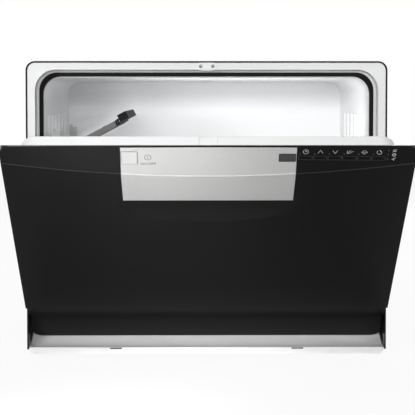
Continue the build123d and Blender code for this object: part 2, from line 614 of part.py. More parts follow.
def door_liner():
    """White inner moulding: a raised box that enters the tub's mouth, with a flange round it."""
    def box(grow, back):
        face = Pos(0, (LINER_BOTTOM + LINER_TOP) / 2) * Rectangle(
            2 * (LINER_HALF + grow), LINER_TOP - LINER_BOTTOM + 2 * grow)
        face = fillet(face.vertices().group_by(Axis.Y)[-1], LINER_R + grow)
        face = fillet(face.vertices().group_by(Axis.Y)[0], LINER_FOOT_R + grow)
        return slab(face, -DOOR_GAP - LINER_WALL, back)

    body = box(0, LINER_REACH)
    body = fillet(body.faces().sort_by(Axis.Y)[-1].edges(), 4)
    seat_top = DOOR_TOP - BEVEL - (DOOR_WALL + FIT) * math.sqrt(2)
    seat = arch(HALF_W - DOOR_WALL - FIT, LINER_BOTTOM + 1, seat_top, DOOR_TOP_R / 4)
    liner = body + slab(seat, -DOOR_GAP - LINER_WALL, -DOOR_GAP)
    liner -= box(-LINER_WALL, LINER_REACH - LINER_WALL)
    for z in (LINER_BOTTOM + 30, LINER_BOTTOM + 52):
        liner += block(50 - LINER_HALF, LINER_HALF - 50, LINER_REACH - 1, LINER_REACH + 2, z, z + 3)
    mid = HINGE_Z + DISPENSER_U1 + 20
    edge = LINER_HALF - 45
    liner += slab(panel(-edge, edge, mid, LINER_TOP - 40, 15)
                  - panel(3 - edge, edge - 3, mid + 3, LINER_TOP - 43, 12),
                  LINER_REACH - 1, LINER_REACH + 1.5)
    liner -= block(-LATCH_SLOT_W / 2, LATCH_SLOT_W / 2, 2, LINER_REACH + 1, LINER_TOP - LATCH_SLOT_D, LINER_TOP + 1)
    hole = panel(DISPENSER_X0 + 4, DISPENSER_X1 - 4, HINGE_Z + DISPENSER_U0 + 4, HINGE_Z + DISPENSER_U1 - 4, 8)
    return liner - slab(hole, LINER_REACH - 5, LINER_REACH + 5)


def dispenser_housing():
    """Moulded dispenser with the detergent cup and the rinse aid opening."""
    z0, z1 = HINGE_Z + DISPENSER_U0, HINGE_Z + DISPENSER_U1
    y = LINER_REACH + FIT
    rim = slab(panel(DISPENSER_X0, DISPENSER_X1, z0, z1, 10), y, y + DISPENSER_PROUD)
    body = slab(panel(DISPENSER_X0 + 5, DISPENSER_X1 - 5, z0 + 5, z1 - 5, 7), y - DISPENSER_DEEP, y)
    housing = rim + body
    cup_x, cup_z = DISPENSER_X0 + 58, (z0 + z1) / 2
    housing -= slab(panel(cup_x - CUP_W / 2 + 3, cup_x + CUP_W / 2 - 3, cup_z - CUP_H / 2 + 3,
                          cup_z + CUP_H / 2 - 3, 8), y - DISPENSER_DEEP + 2, y + 9)
    housing -= slab(panel(cup_x - CUP_W / 2 - FIT, cup_x + CUP_W / 2 + FIT, cup_z - CUP_H / 2 - FIT,
                          cup_z + CUP_H / 2 + FIT, 0.8), y + 0.2, y + 9)
    return housing - rod((DISPENSER_X1 - 28, y - 12, cup_z), (DISPENSER_X1 - 28, y + 9, cup_z), 15)


def lid_centre():
    """Middle of the detergent cup in x and z, door closed."""
    return DISPENSER_X0 + 58, HINGE_Z + (DISPENSER_U0 + DISPENSER_U1) / 2


def dispenser_lid():
    """Detergent lid, hinged at its upper edge."""
    x, z = lid_centre()
    y = LINER_REACH + FIT + 0.5
    top = z + CUP_H / 2 - LID_T / 2
    face = Pos(x, (z - CUP_H / 2 + top) / 2) * Rectangle(CUP_W, top - z + CUP_H / 2)
    lid = slab(fillet(face.vertices().group_by(Axis.Y)[0], 3.5), y, y + LID_T)
    barrel = rod((x - CUP_W / 2, y + LID_T / 2, top), (x + CUP_W / 2, y + LID_T / 2, top), LID_T / 2)
    catch = block(x - 10, x + 10, y + LID_T, y + LID_T + 2, z - CUP_H / 2 + 4, z - CUP_H / 2 + 9)
    return lid + barrel + catch


def rinse_aid_cap():
    """Round cap with a grip bar, turned a quarter to open."""
    x, z = DISPENSER_X1 - 28, lid_centre()[1]
    y = LINER_REACH + FIT + DISPENSER_PROUD + FIT
    cap = rod((x, y, z), (x, y + 2.5, z), CAP_R) + rod((x, y - 8, z), (x, y, z), 14)
    return cap + block(x - 14, x + 14, y + 2, y + 6, z - 2.5, z + 2.5)


def door_lock_body():
    """Housing of the door lock below the liner's slot."""
    y0, y1 = -4, LINER_REACH - LINER_WALL - FIT
    z1 = LINER_TOP - LATCH_SLOT_D - FIT
    body = block(-26, 26, y0, y1, z1 - 30, z1)
    body -= block(-5, 5, y0 + 2, y1 + 1, z1 - 24, z1 + 1)
    return body - rod((-9, CLAW_Y, CLAW_Z), (9, CLAW_Y, CLAW_Z), CLAW_PIN_R + FIT)


def latch_pawl():
    """Claw that swings up behind the striker's loop when the door is shut."""
    y, z = CLAW_Y, CLAW_Z
    claw = rod((-4, y, z), (4, y, z), 4) + block(-4, 4, y, y + 15, z - 2.5, z + 2.5)
    claw += rod((-8.5, y, z), (8.5, y, z), CLAW_PIN_R)
    return claw + block(-4, 4, y + 11.5, y + 15, z, z + 6)


def liner_screws():
    """Screws through the liner's flange into the shell."""
    group = Part()
    for x in (11.5 - HALF_W, HALF_W - 11.5):
        for z in (LINER_BOTTOM + 40, LINER_BOTTOM + 150, LINER_BOTTOM + 260):
            group += rod((x, -DOOR_GAP, z), (x, -DOOR_GAP + 1.6, z), 3.2)
    return group


# ---------------------------------------------------------------- wash system

def sump():
    """Moulded sump hung in the tub's floor, with a deeper well for the filter."""
    top = TUB_FLOOR + FIT
    bowl = rod((0, SUMP_Y, top - SUMP_DEPTH), (0, SUMP_Y, top), SUMP_R)
    well = rod((WELL_X, SUMP_Y, top - WELL_DEPTH), (WELL_X, SUMP_Y, top), WELL_R)
    rim = rod((0, SUMP_Y, top), (0, SUMP_Y, top + 1.5), SUMP_R + 7)
    inner = rod((0, SUMP_Y, top - SUMP_DEPTH + SUMP_WALL), (0, SUMP_Y, top + 5), SUMP_R - SUMP_WALL)
    inner += rod((WELL_X, SUMP_Y, top - WELL_DEPTH + SUMP_WALL), (WELL_X, SUMP_Y, top), WELL_R - SUMP_WALL)
    z = top - SUMP_DEPTH + 13
    body = bowl + well + rim
    body += rod((0, SUMP_Y, z), (SUMP_R + 18, SUMP_Y, z), 12) + rod((0, SUMP_Y, z), (-SUMP_R - 18, SUMP_Y, z), 9)
    body -= inner
    body -= rod((30, SUMP_Y, z), (SUMP_R + 19, SUMP_Y, z), 9.5)
    return body - rod((-30, SUMP_Y, z), (-SUMP_R - 19, SUMP_Y, z), 6.5)


def filter_plate():
    """Flat steel strainer over the sump, with holes for the hub and the filter cup."""
    z = TUB_FLOOR + FIT + 1.5 + FIT
    plate = rod((0, SUMP_Y, z), (0, SUMP_Y, z + 1.2), FILTER_R)
    plate -= rod((WELL_X, SUMP_Y, z - 1), (WELL_X, SUMP_Y, z + 3), CUP_R + FIT)
    return plate - rod((0, SUMP_Y, z - 1), (0, SUMP_Y, z + 3), HUB_R + FIT)


def filter_cup():
    """Cylindrical fine filter with a grip bar, turned a quarter to come out."""
    z0 = TUB_FLOOR - WELL_DEPTH + 8
    z1 = TUB_FLOOR + 3.6
    cup = rod((WELL_X, SUMP_Y, z0), (WELL_X, SUMP_Y, z1), CUP_R - FIT)
    cup -= rod((WELL_X, SUMP_Y, z0 + 2), (WELL_X, SUMP_Y, z1 + 1), CUP_R - 2.5)
    cup += rod((WELL_X, SUMP_Y, z1), (WELL_X, SUMP_Y, z1 + 1.6), CUP_R + 2)
    cup -= rod((WELL_X, SUMP_Y, z1 - 1), (WELL_X, SUMP_Y, z1 + 5), CUP_R - 8)
    return cup + block(WELL_X - CUP_R, WELL_X + CUP_R, SUMP_Y - 2.5, SUMP_Y + 2.5, z1, z1 + 7)


def spray_hub():
    """Fixed feed pipe from the sump, with the seat that the spray arm turns on."""
    top = TUB_FLOOR + FIT
    hub = rod((0, SUMP_Y, top - SUMP_DEPTH + SUMP_WALL), (0, SUMP_Y, HUB_TOP - 2), HUB_R)
    hub += rod((0, SUMP_Y, HUB_TOP - 2), (0, SUMP_Y, HUB_TOP + 8), 7.5)
    return hub - rod((0, SUMP_Y, 0), (0, SUMP_Y, HUB_TOP + 9), 5)


def spray_arm():
    """Hollow arm with two blades and a row of jets, turning on the hub."""
    z0 = HUB_TOP - 2 + FIT
    blade = SlotOverall(2 * ARM_REACH, ARM_W)
    arm = Pos(0, SUMP_Y, z0) * extrude(blade, ARM_H)
    arm = chamfer(arm.faces().sort_by(Axis.Z)[-1].edges(), 3)
    for i in range(1, 6):
        for side in (-1, 1):
            x = side * (18 + i * 24)
            arm -= rod((x, SUMP_Y, z0 + 8), (x, SUMP_Y, z0 + 20), 2)
    return arm - rod((0, SUMP_Y, z0 - 1), (0, SUMP_Y, z0 + 10.5), 7.5 + FIT)


def flow_heater():
    """Steel heater pipe between the pump and the hub."""
    body = rod((115, SUMP_Y + 60, 45), (115, SUMP_Y + 150, 45), 20)
    body += rod((115, SUMP_Y + 52, 45), (115, SUMP_Y + 158, 45), 12)
    return body + block(100, 130, SUMP_Y + 70, SUMP_Y + 80, TRAY_BOTTOM + TRAY_WALL, 40)


def circulation_pump():
    """Pump head and motor lying beside the sump."""
    x0 = SUMP_R + 18 + FIT
    z = TUB_FLOOR + FIT - SUMP_DEPTH + 13
    head = rod((x0, SUMP_Y, z), (x0 + 22, SUMP_Y, z), 15)
    low = 46
    head += rod((x0 + 20, SUMP_Y + 6, low), (x0 + 40, SUMP_Y + 6, low), 38)
    motor = rod((x0 + 40, SUMP_Y + 6, low), (x0 + 104, SUMP_Y + 6, low), 30)
    base = block(x0 + 44, x0 + 98, SUMP_Y - 14, SUMP_Y + 26, TRAY_BOTTOM + TRAY_WALL, low - 20)
    return head + motor + base


def drain_pump():
    """Small pump on the other side of the sump."""
    x0 = -(SUMP_R + 18 + FIT)
    z = TUB_FLOOR + FIT - SUMP_DEPTH + 13
    body = rod((x0, SUMP_Y, z), (x0 - 14, SUMP_Y, z), 12) + rod((x0 - 12, SUMP_Y, 60), (x0 - 40, SUMP_Y, 60), 27)
    motor = block(x0 - 84, x0 - 38, SUMP_Y - 20, SUMP_Y + 20, 40, 80)
    base = block(x0 - 70, x0 - 50, SUMP_Y - 14, SUMP_Y + 14, TRAY_BOTTOM + TRAY_WALL, 42)
    return body + motor + base


def softener_tank():
    """Salt container below the tub, its neck coming up through the floor."""
    tank = block(SALT_X - 62, SALT_X + 55, SALT_Y - 22, SALT_Y + 62, TRAY_BOTTOM + TRAY_WALL, 86)
    tank = fillet(tank.edges().filter_by(Axis.Z), 12)
    neck = rod((SALT_X, SALT_Y + 0, 80), (SALT_X, SALT_Y, TUB_FLOOR + 3), SALT_R - 3 - FIT)
    collar = rod((SALT_X, SALT_Y, TUB_FLOOR + FIT), (SALT_X, SALT_Y, TUB_FLOOR + 3), SALT_R + 1)
    return tank + neck + collar - rod((SALT_X, SALT_Y, 30), (SALT_X, SALT_Y, 110), SALT_R - 7)


def salt_cap():
    """Screw cap of the salt container."""
    z = TUB_FLOOR + 3 + FIT
    cap = rod((SALT_X, SALT_Y, z), (SALT_X, SALT_Y, z + 4), SALT_R)
    cap += rod((SALT_X, SALT_Y, z - 12), (SALT_X, SALT_Y, z), SALT_R - 7.5)
    return cap + block(SALT_X - 20, SALT_X + 20, SALT_Y - 3, SALT_Y + 3, z + 3.5, z + 7)


def float_cap():
    """Overfill float: a dome on a stem through the tub's floor."""
    dome = rod((FLOAT_X, FLOAT_Y, TUB_FLOOR + FIT), (FLOAT_X, FLOAT_Y, TUB_FLOOR + 14), FLOAT_R)
    dome = chamfer(dome.faces().sort_by(Axis.Z)[-1].edges(), 4)
    dome -= rod((FLOAT_X, FLOAT_Y, TUB_FLOOR - 1), (FLOAT_X, FLOAT_Y, TUB_FLOOR + 11), FLOAT_R - 2)
    return dome + rod((FLOAT_X, FLOAT_Y, TUB_FLOOR - 22), (FLOAT_X, FLOAT_Y, TUB_FLOOR + 12), 3)


def float_switch():
    """Micro switch below the float's stem, on a post."""
    top = TUB_FLOOR - 22 - FIT
    return (block(FLOAT_X - 14, FLOAT_X + 8, FLOAT_Y + 12, FLOAT_Y + 42, TRAY_BOTTOM + TRAY_WALL, top)
            + block(FLOAT_X - 14, FLOAT_X + 8, FLOAT_Y - 6, FLOAT_Y + 42, top - 6, top))


def air_break():
    """Flat moulded water chamber between the tub and the casing."""
    x0 = MOUTH_HALF + TUB_WALL + RUN
    x1 = HALF_W - SHEET - RUN
    body = strip(panel(90, 330, 130, BODY_H - 47, 20), -x1, -x0)
    return body


def inlet_valve():
    """Solenoid valve with a threaded spigot through the rear cover."""
    body = block(INLET_X - 22, INLET_X + 22, BODY_D - 62, BODY_D - 14, TRAY_BOTTOM + TRAY_WALL, INLET_Z + 18)
    spigot = rod((INLET_X, BODY_D - 20, INLET_Z), (INLET_X, BODY_D + SHEET + SPIGOT_OUT - 8, INLET_Z), THREAD_R)
    collar = rod((INLET_X, BODY_D - 20, INLET_Z), (INLET_X, BODY_D - SHEET - FIT, INLET_Z), 20)
    return body + spigot + collar - rod((INLET_X, BODY_D - 10, INLET_Z), (INLET_X, BODY_D + 40, INLET_Z), 7)


def drain_outlet():
    """Barbed hose spigot with its non-return chamber."""
    body = block(DRAIN_X - 18, DRAIN_X + 18, BODY_D - 50, BODY_D - 12, TRAY_BOTTOM + TRAY_WALL, DRAIN_Z + 14)
    spigot = rod((DRAIN_X, BODY_D - 14, DRAIN_Z), (DRAIN_X, BODY_D + SHEET + SPIGOT_OUT - 8, DRAIN_Z), SPIGOT_R - 1)
    for i in range(3):
        y = BODY_D + SHEET + 3 + i * 4.5
        barb = Pos(DRAIN_X, y, DRAIN_Z) * (Rot(-90, 0, 0) * Cone(SPIGOT_R, SPIGOT_R - 1, 4))
        spigot += barb
    return body + spigot - rod((DRAIN_X, BODY_D - 10, DRAIN_Z), (DRAIN_X, BODY_D + 40, DRAIN_Z), 6)


def cable_gland():
    """Gland in the rear cover, without its cord."""
    gland = rod((GLAND_X, BODY_D - 6, GLAND_Z), (GLAND_X, BODY_D + SHEET + 7, GLAND_Z), 8)
    gland += rod((GLAND_X, BODY_D + SHEET + FIT, GLAND_Z), (GLAND_X, BODY_D + SHEET + 4, GLAND_Z), 11)
    return gland - rod((GLAND_X, BODY_D - 7, GLAND_Z), (GLAND_X, BODY_D + 20, GLAND_Z), 4)


def cabinet_screws():
    """Screw heads of the rear cover and the striker."""
    group = Part()
    y = BODY_D + SHEET
    for x in (-HALF_W + 14, HALF_W - 14):
        for z in spread(30, BODY_H - 27, 4):
            group += rod((x, y, z), (x, y + 1.8, z), 4)
    for x in (-9.1, 9.1):
        group += rod((x, -2.2, RECESS_TOP + 4.9), (x, -1, RECESS_TOP + 4.9), 2.8)
    return group


# ---------------------------------------------------------------- basket

def wire(start, end, radius, facing):
    """A straight six-sided wire with one flat turned square to a direction."""
    run = Vector(*end) - Vector(*start)
    plane = Plane(origin=start, x_dir=Vector(*facing).cross(run), z_dir=run)
    return plane * extrude(RegularPolygon(radius, 6, major_radius=False), run.length)


def basket_floor():
    """Bottom grid, and below it the brackets and axles of the four rollers."""
    z = BASKET_FLOOR
    brackets = []
    up = (0, 0, 1)
    x1, y0, y1 = BASKET_HALF + 1, BASKET_FRONT - 1, BASKET_BACK + 1
    floor = Part() + [wire((x, y0, z), (x, y1, z), WIRE_R, up) for x in spread(-x1 + 9, x1 - 9, 9)]
    cross = spread(y0 + 12, y1 - 12, 5)
    for y in (FRONT_AXLE_Y, REAR_AXLE_Y):
        cross += [y - 8, y + 8]
        for side in (-1, 1):
            a, b = sorted((side * (LEDGE_X - RUN - 3), side * (LEDGE_X - RUN)))
            bracket = block(a, b, y - 10, y + 10, AXLE_Z - 5, CROSS_Z - WIRE_R - TOUCH)
            bracket += rod((side * (LEDGE_X - 2), y, AXLE_Z), (side * (ROLLER_X + ROLLER_W + FIT), y, AXLE_Z), AXLE_R)
            brackets += bracket.solids()
    floor += [wire((-x1, y, CROSS_Z), (x1, y, CROSS_Z), WIRE_R, up) for y in cross]
    return Compound(floor.solids() + brackets)


def basket_end(y, inward, count):
    """One short side: rim, two bars, and uprights welded to their inner side."""
    x1 = BASKET_HALF - RIM_R - FIT
    z0 = BASKET_FLOOR + WIRE_R + FIT + FOOT_WIRE_R
    face = (0, 1, 0)
    inner = y + inward * (WIRE_R + FOOT_WIRE_R - WELD)
    bars = Part() + [wire((x, inner, z0 - FOOT_WIRE_R), (x, inner, BASKET_RIM), WIRE_R, face)
                     for x in spread(-x1 + 6, x1 - 6, count)]
    bars += [wire((-x1, y, z), (x1, y, z), FOOT_WIRE_R, face) for z in (z0, (z0 + BASKET_RIM) / 2)]
    return bars + wire((-x1, y, BASKET_RIM), (x1, y, BASKET_RIM), RIM_R, face)


def basket_front():
    return basket_end(BASKET_FRONT, 1, 12)


def basket_back():
    return basket_end(BASKET_BACK, -1, 12)


def basket_side(side, count):
    """One long side: rim, two bars, and uprights welded to their inner side."""
    x = side * BASKET_HALF
    inner = x - side * (WIRE_R + FOOT_WIRE_R - WELD)
    z0 = CROSS_Z + WIRE_R + FIT + FOOT_WIRE_R
    y0, y1 = BASKET_FRONT - 3, BASKET_BACK + 3
    face = (1, 0, 0)
    bars = Part() + [wire((inner, y, z0 - FOOT_WIRE_R), (inner, y, BASKET_RIM), WIRE_R, face)
                     for y in spread(y0 + 14, y1 - 14, count)]
    bars += [wire((x, y0, z), (x, y1, z), FOOT_WIRE_R, face) for z in (z0, (z0 + BASKET_RIM) / 2)]
    return bars + wire((x, y0, BASKET_RIM), (x, y1, BASKET_RIM), RIM_R, face)


def basket_left():
    """Left side, with two posts that carry the cup shelf's pivots."""
    x = -BASKET_HALF
    side = basket_side(-1, 8)
    for y, inward in ((SHELF_Y0 - 10, 1), (SHELF_Y1 + 10, -1)):
        side += wire((x, y, BASKET_RIM), (x, y, SHELF_Z + 38), RIM_R, (1, 0, 0))
        side += rod((SHELF_X, y, SHELF_Z), (SHELF_X, y + inward * 10, SHELF_Z), 2.5)
        side += block(x - 2, SHELF_X + 5, y - 3.5, y + 3.5, SHELF_Z - 12, SHELF_Z + 34)
    return side


def basket_right():
    return basket_side(1, 8)


def plate_tines():
    """Two rows of upright wires that hold plates, each row welded to its own foot wire."""
    z0 = CROSS_Z + 2 * WIRE_R + FIT
    tines = Part()
    for x in (-150.0, -40.0):
        tines += wire((x, BASKET_FRONT + 16, z0), (x, BASKET_BACK - 16, z0), WIRE_R, (0, 0, 1))
        for y in spread(BASKET_FRONT + 24, BASKET_BACK - 24, 11):
            tines += wire((x, y, z0), (x, y, z0 + TINE_H), WIRE_R, (0, 1, 0))
    return tines


def roller(side, y):
    """Basket wheel with a shallow groove."""
    a = side * ROLLER_X
    b = side * (ROLLER_X + ROLLER_W)
    wheel = rod((a, y, AXLE_Z), (b, y, AXLE_Z), ROLLER_R)
    return wheel - rod((a - side, y, AXLE_Z), (b + side, y, AXLE_Z), AXLE_R + FIT)


def cup_shelf():
    """Ribbed shelf that folds down over the plates; drawn level, then tilted."""
    x0, x1 = SHELF_X, SHELF_X + SHELF_L
    y0, y1 = SHELF_Y0, SHELF_Y1
    t = 3.0
    z = SHELF_Z
    shelf = block(x0 + 7, x0 + 12, y0, y1, z - t, z + t)
    shelf += block(x1 - 6, x1, y0, y1, z - t, z + 6)
    for y in spread(y0, y1 - 4, 11):
        shelf += block(x0 + 8, x1 - 3, y, y + 4, z - t, z)
    for x in (x0 + 45, x0 + 80):
        shelf += block(x, x + 4, y0, y1, z - t, z + t)
    for y in (y0, y1 - 8):
        lug = rod((x0, y, z), (x0, y + 8, z), 6) + block(x0, x0 + 10, y, y + 8, z - t, z + t)
        shelf += lug - rod((x0, y - 1, z), (x0, y + 9, z), 2.5 + FIT)
    tilt = Axis((x0, 0, z), (0, 1, 0))
    return shelf.rotate(tilt, -SHELF_TILT)


def cutlery_basket():
    """Moulded basket with slotted walls, two partitions and a carrying bar."""
    x0, x1, y0, y1 = CUTLERY_X0, CUTLERY_X1, CUTLERY_Y0, CUTLERY_Y1
    z0 = BASKET_FLOOR + WIRE_R + FIT
    z1 = z0 + CUTLERY_H
    w = 2.0
    body = block(x0, x1, y0, y1, z0, z1) - block(x0 + w, x1 - w, y0 + w, y1 - w, z0 + w, z1 + 1)
    for y in (y0 + (y1 - y0) / 3, y0 + 2 * (y1 - y0) / 3):
        body += block(x0 + 1, x1 - 1, y, y + w, z0 + 1, z1 - 15)
    slots = Part()
    for y in spread(y0 + 12, y1 - 18, 12):
        slots += block(x0 - 1, x1 + 1, y, y + 7, z0 + 14, z1 - 16)
    body -= slots
    for x in spread(x0 + 10, x1 - 17, 4):
        body -= block(x, x + 7, y0 - 1, y0 + w + 0.5, z0 + 14, z1 - 16)
        body -= block(x, x + 7, y1 - w - 0.5, y1 + 1, z0 + 14, z1 - 16)
    mid = (x0 + x1) / 2
    return body + block(mid - 4, mid + 4, y0, y1, z1 - 3, z1 + 3)


# ---------------------------------------------------------------- assembly

HINGE = Axis((0, 0, HINGE_Z), (1, 0, 0))


def opened(shape):
    """Swing a piece of the closed door to where the door stands."""
    return shape.rotate(HINGE, DOOR_ANGLE)


cabinet = {
    "casing": casing, "rear_cover": rear_cover, "base_tray": base_tray, "feet": feet,
    "front_frame": front_frame, "door_sill": door_sill, "wash_tub": wash_tub, "door_gasket": door_gasket,
    "latch_striker": latch_striker, "cabinet_screws": cabinet_screws, "hinge_brackets": hinge_brackets,
    "hinge_pins": hinge_pins, "door_springs": door_springs, "sump": sump, "filter_plate": filter_plate,
    "spray_hub": spray_hub, "flow_heater": flow_heater, "circulation_pump": circulation_pump,
    "drain_pump": drain_pump, "softener_tank": softener_tank, "float_switch": float_switch,
    "air_break": air_break, "inlet_valve": inlet_valve, "drain_outlet": drain_outlet,
    "cable_gland": cable_gland, "spray_arm": spray_arm, "filter_cup": filter_cup, "salt_cap": salt_cap,
    "float_cap": float_cap, "basket_floor": basket_floor, "basket_front": basket_front,
    "basket_back": basket_back, "basket_left": basket_left, "basket_right": basket_right,
    "plate_tines": plate_tines, "cup_shelf": cup_shelf, "cutlery_basket": cutlery_basket,
}
door = {
    "door_shell": door_shell, "control_fascia": control_fascia, "display_window": display_window,
    "door_liner": door_liner, "dispenser_housing": dispenser_housing, "dispenser_lid": dispenser_lid,
    "rinse_aid_cap": rinse_aid_cap, "door_lock_body": door_lock_body, "latch_pawl": latch_pawl,
    "control_board": control_board, "hinge_arms": hinge_arms, "liner_screws": liner_screws,
}

# The origin is on the counter, below the middle of the whole machine as it stands with its door open.
tip_y = turned(DOOR_FACE, CREASE_Z - HINGE_Z, DOOR_ANGLE)[0]
for corner in ((DOOR_FACE + BAND_LEAN, DOOR_TOP - HINGE_Z), (DOOR_FACE, CREASE_Z - HINGE_Z + CREASE_SAG)):
    tip_y = min(tip_y, turned(*corner, DOOR_ANGLE)[0])
rear_y = BODY_D + SHEET + SPIGOT_OUT - 8
MIDDLE_Y = (tip_y + rear_y) / 2

pieces = {name: make() for name, make in cabinet.items()}
pieces.update({name: opened(make()) for name, make in door.items()})
pieces["on_off_button"] = opened(push_button(POWER_X, POWER_SIZE, POWER_SIZE))
for i in range(BUTTON_COUNT):
    pieces[f"option_button_{i + 1}"] = opened(push_button(BUTTON_X0 + i * BUTTON_PITCH, BUTTON_W, BUTTON_H))
for side, hand in ((-1, "left"), (1, "right")):
    pieces[f"front_roller_{hand}"] = roller(side, FRONT_AXLE_Y)
    pieces[f"rear_roller_{hand}"] = roller(side, REAR_AXLE_Y)

os.makedirs("parts", exist_ok=True)
for name, piece in pieces.items():
    export_step(Pos(0, -MIDDLE_Y, 0) * piece, f"parts/{name}.step")
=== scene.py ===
"""Dresses a countertop dishwasher, its door half open, in real finishes on a photographer's white table."""
import math
import bpy
import numpy as np
from mathutils import Euler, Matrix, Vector


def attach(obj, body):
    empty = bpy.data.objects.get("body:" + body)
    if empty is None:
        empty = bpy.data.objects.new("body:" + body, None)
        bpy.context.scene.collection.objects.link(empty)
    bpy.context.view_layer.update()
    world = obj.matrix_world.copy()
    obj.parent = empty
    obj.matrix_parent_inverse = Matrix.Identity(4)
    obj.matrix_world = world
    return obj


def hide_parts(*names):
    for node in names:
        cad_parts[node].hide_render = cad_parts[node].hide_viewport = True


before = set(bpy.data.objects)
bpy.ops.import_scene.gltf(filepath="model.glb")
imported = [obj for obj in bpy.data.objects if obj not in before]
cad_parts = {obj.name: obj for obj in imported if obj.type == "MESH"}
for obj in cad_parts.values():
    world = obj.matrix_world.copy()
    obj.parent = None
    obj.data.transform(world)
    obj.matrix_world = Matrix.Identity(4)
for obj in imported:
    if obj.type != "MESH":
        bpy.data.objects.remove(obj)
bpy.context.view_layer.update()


# ---------------------------------------------------------------- the table, the lamps and the camera
# A photographer's white sweep that shows pure white but keeps a soft shadow. Soft lamps stand above, in
# front on both sides and behind, two small ones light the base tray's lip and hollow from the front, and
# one in the tub's mouth stands in for the light from the sides that the half-open door keeps out.

def white_for_the_lens(nodes, links, dim, bright, direct, mirrored):
    """Mixes two shaders. The lens, and what it sees through glass, get one share of the bright one, mirrors
    another, and everything else only the dim one."""
    rays = nodes.new("ShaderNodeLightPath")
    seen = nodes.new("ShaderNodeMath")
    seen.operation = "MAXIMUM"
    links.new(rays.outputs["Is Camera Ray"], seen.inputs[0])
    links.new(rays.outputs["Is Transmission Ray"], seen.inputs[1])
    straight = nodes.new("ShaderNodeMath")
    straight.operation = "MULTIPLY"
    straight.inputs[1].default_value = direct
    links.new(seen.outputs[0], straight.inputs[0])
    share = nodes.new("ShaderNodeMath")
    share.operation = "MULTIPLY_ADD"
    share.inputs[1].default_value = mirrored
    links.new(rays.outputs["Is Glossy Ray"], share.inputs[0])
    links.new(straight.outputs[0], share.inputs[2])
    mix = nodes.new("ShaderNodeMixShader")
    links.new(share.outputs[0], mix.inputs[0])
    links.new(dim.outputs[0], mix.inputs[1])
    links.new(bright.outputs[0], mix.inputs[2])
    return mix


scene = bpy.context.scene
scene.view_settings.view_transform = "Standard"

world = bpy.data.worlds.new("studio")
scene.world = world
world.use_nodes = True
nodes, links = world.node_tree.nodes, world.node_tree.links
dim = nodes["Background"]
dim.inputs["Color"].default_value = (0.93, 0.96, 1.0, 1)
dim.inputs["Strength"].default_value = 0.15
bright = nodes.new("ShaderNodeBackground")
bright.inputs["Color"].default_value = (1, 1, 1, 1)
bright.inputs["Strength"].default_value = 1.0
mix = white_for_the_lens(nodes, links, dim, bright, direct=1.0, mirrored=1.0)
links.new(mix.outputs[0], nodes["World Output"].inputs["Surface"])

TABLE_REACH = 6.0             # half the table's side, in metres
table = bpy.data.meshes.new("table")
corners = ((-1, -1), (1, -1), (1, 1), (-1, 1))
table.from_pydata([(x * TABLE_REACH, y * TABLE_REACH, 0) for x, y in corners], [], [(0, 1, 2, 3)])
floor = bpy.data.objects.new("table", table)
scene.collection.objects.link(floor)
white = bpy.data.materials.new("sweep")
white.use_nodes = True
nodes, links = white.node_tree.nodes, white.node_tree.links
paper = nodes["Principled BSDF"]
paper.inputs["Base Color"].default_value = (0.80, 0.80, 0.80, 1)
paper.inputs["Roughness"].default_value = 0.9
paper.inputs["Specular IOR Level"].default_value = 0.0
glow = nodes.new("ShaderNodeEmission")
mix = white_for_the_lens(nodes, links, paper, glow, direct=0.93, mirrored=0.06)
links.new(mix.outputs[0], nodes["Material Output"].inputs["Surface"])
table.materials.append(white)


def softbox(name, place, target, width, height, power, spread=180, hidden=False):
    """A rectangular lamp turned to face a point. Its spread is in degrees, and a hidden one is seen neither
    by the lens nor in a mirror."""
    lamp = bpy.data.lights.new(name, "AREA")
    lamp.shape = "RECTANGLE"
    lamp.size, lamp.size_y = width, height
    lamp.energy = power
    lamp.spread = math.radians(spread)
    stand = bpy.data.objects.new(name, lamp)
    stand.location = place
    stand.rotation_euler = (Vector(place) - Vector(target)).to_track_quat("Z", "Y").to_euler()
    stand.visible_camera = stand.visible_glossy = not hidden
    scene.collection.objects.link(stand)


softbox("key_lamp", (-0.25, -0.12, 2.3), (0.0, -0.1, 0.25), 0.9, 0.9, 16)
softbox("left_lamp", (-1.55, -2.2, 0.58), (0.0, 0.1, 0.36), 0.7, 0.35, 24)
softbox("front_lamp", (-0.25, -2.5, 0.70), (0.0, 0.2, 0.33), 1.0, 0.2, 21, hidden=True)
softbox("right_lamp", (1.60, -2.2, 0.58), (0.0, 0.1, 0.36), 0.7, 0.35, 9)
softbox("back_lamp", (0.9, 2.2, 1.3), (0.0, 0.2, 0.25), 1.2, 1.2, 26)
softbox("under_lamp", (-0.62, -1.25, 0.34), (-0.20, -0.50, 0.0), 0.20, 0.2, 0.42, spread=24, hidden=True)
softbox("ahead_lamp", (-0.34, -0.95, 0.30), (-0.17, -0.62, 0.0), 0.12, 0.08, 0.85, spread=40, hidden=True)
softbox("inside_lamp", (0.04, -0.065, 0.325), (0.04, 0.22, 0.40), 0.30, 0.03, 0.44, hidden=True)

CAMERA_PLACE = (-0.0175, -1.9903, 0.3954)
CAMERA_DOWN = 2.49            # degrees below level
CAMERA_RIGHT = 0.57           # degrees to the right
LENS, SENSOR = 107.7, 36.0    # focal length and sensor width, in mm
LENS_SHIFT = -0.14            # a share of the picture's side
camera = bpy.data.cameras.new("camera")
camera.lens = LENS
camera.sensor_width = SENSOR
camera.shift_y = LENS_SHIFT
view = bpy.data.objects.new("camera", camera)
view.location = CAMERA_PLACE
view.rotation_euler = Euler((math.radians(90 - CAMERA_DOWN), 0, -math.radians(CAMERA_RIGHT)))
scene.collection.objects.link(view)
scene.camera = view


# ---------------------------------------------------------------- casing and rear cover
# The outer case is one sheet of steel folded over the top and down both sides, enamelled gloss black.
# The rear cover is galvanised sheet, pressed with a raised panel and screwed to the case's flange.

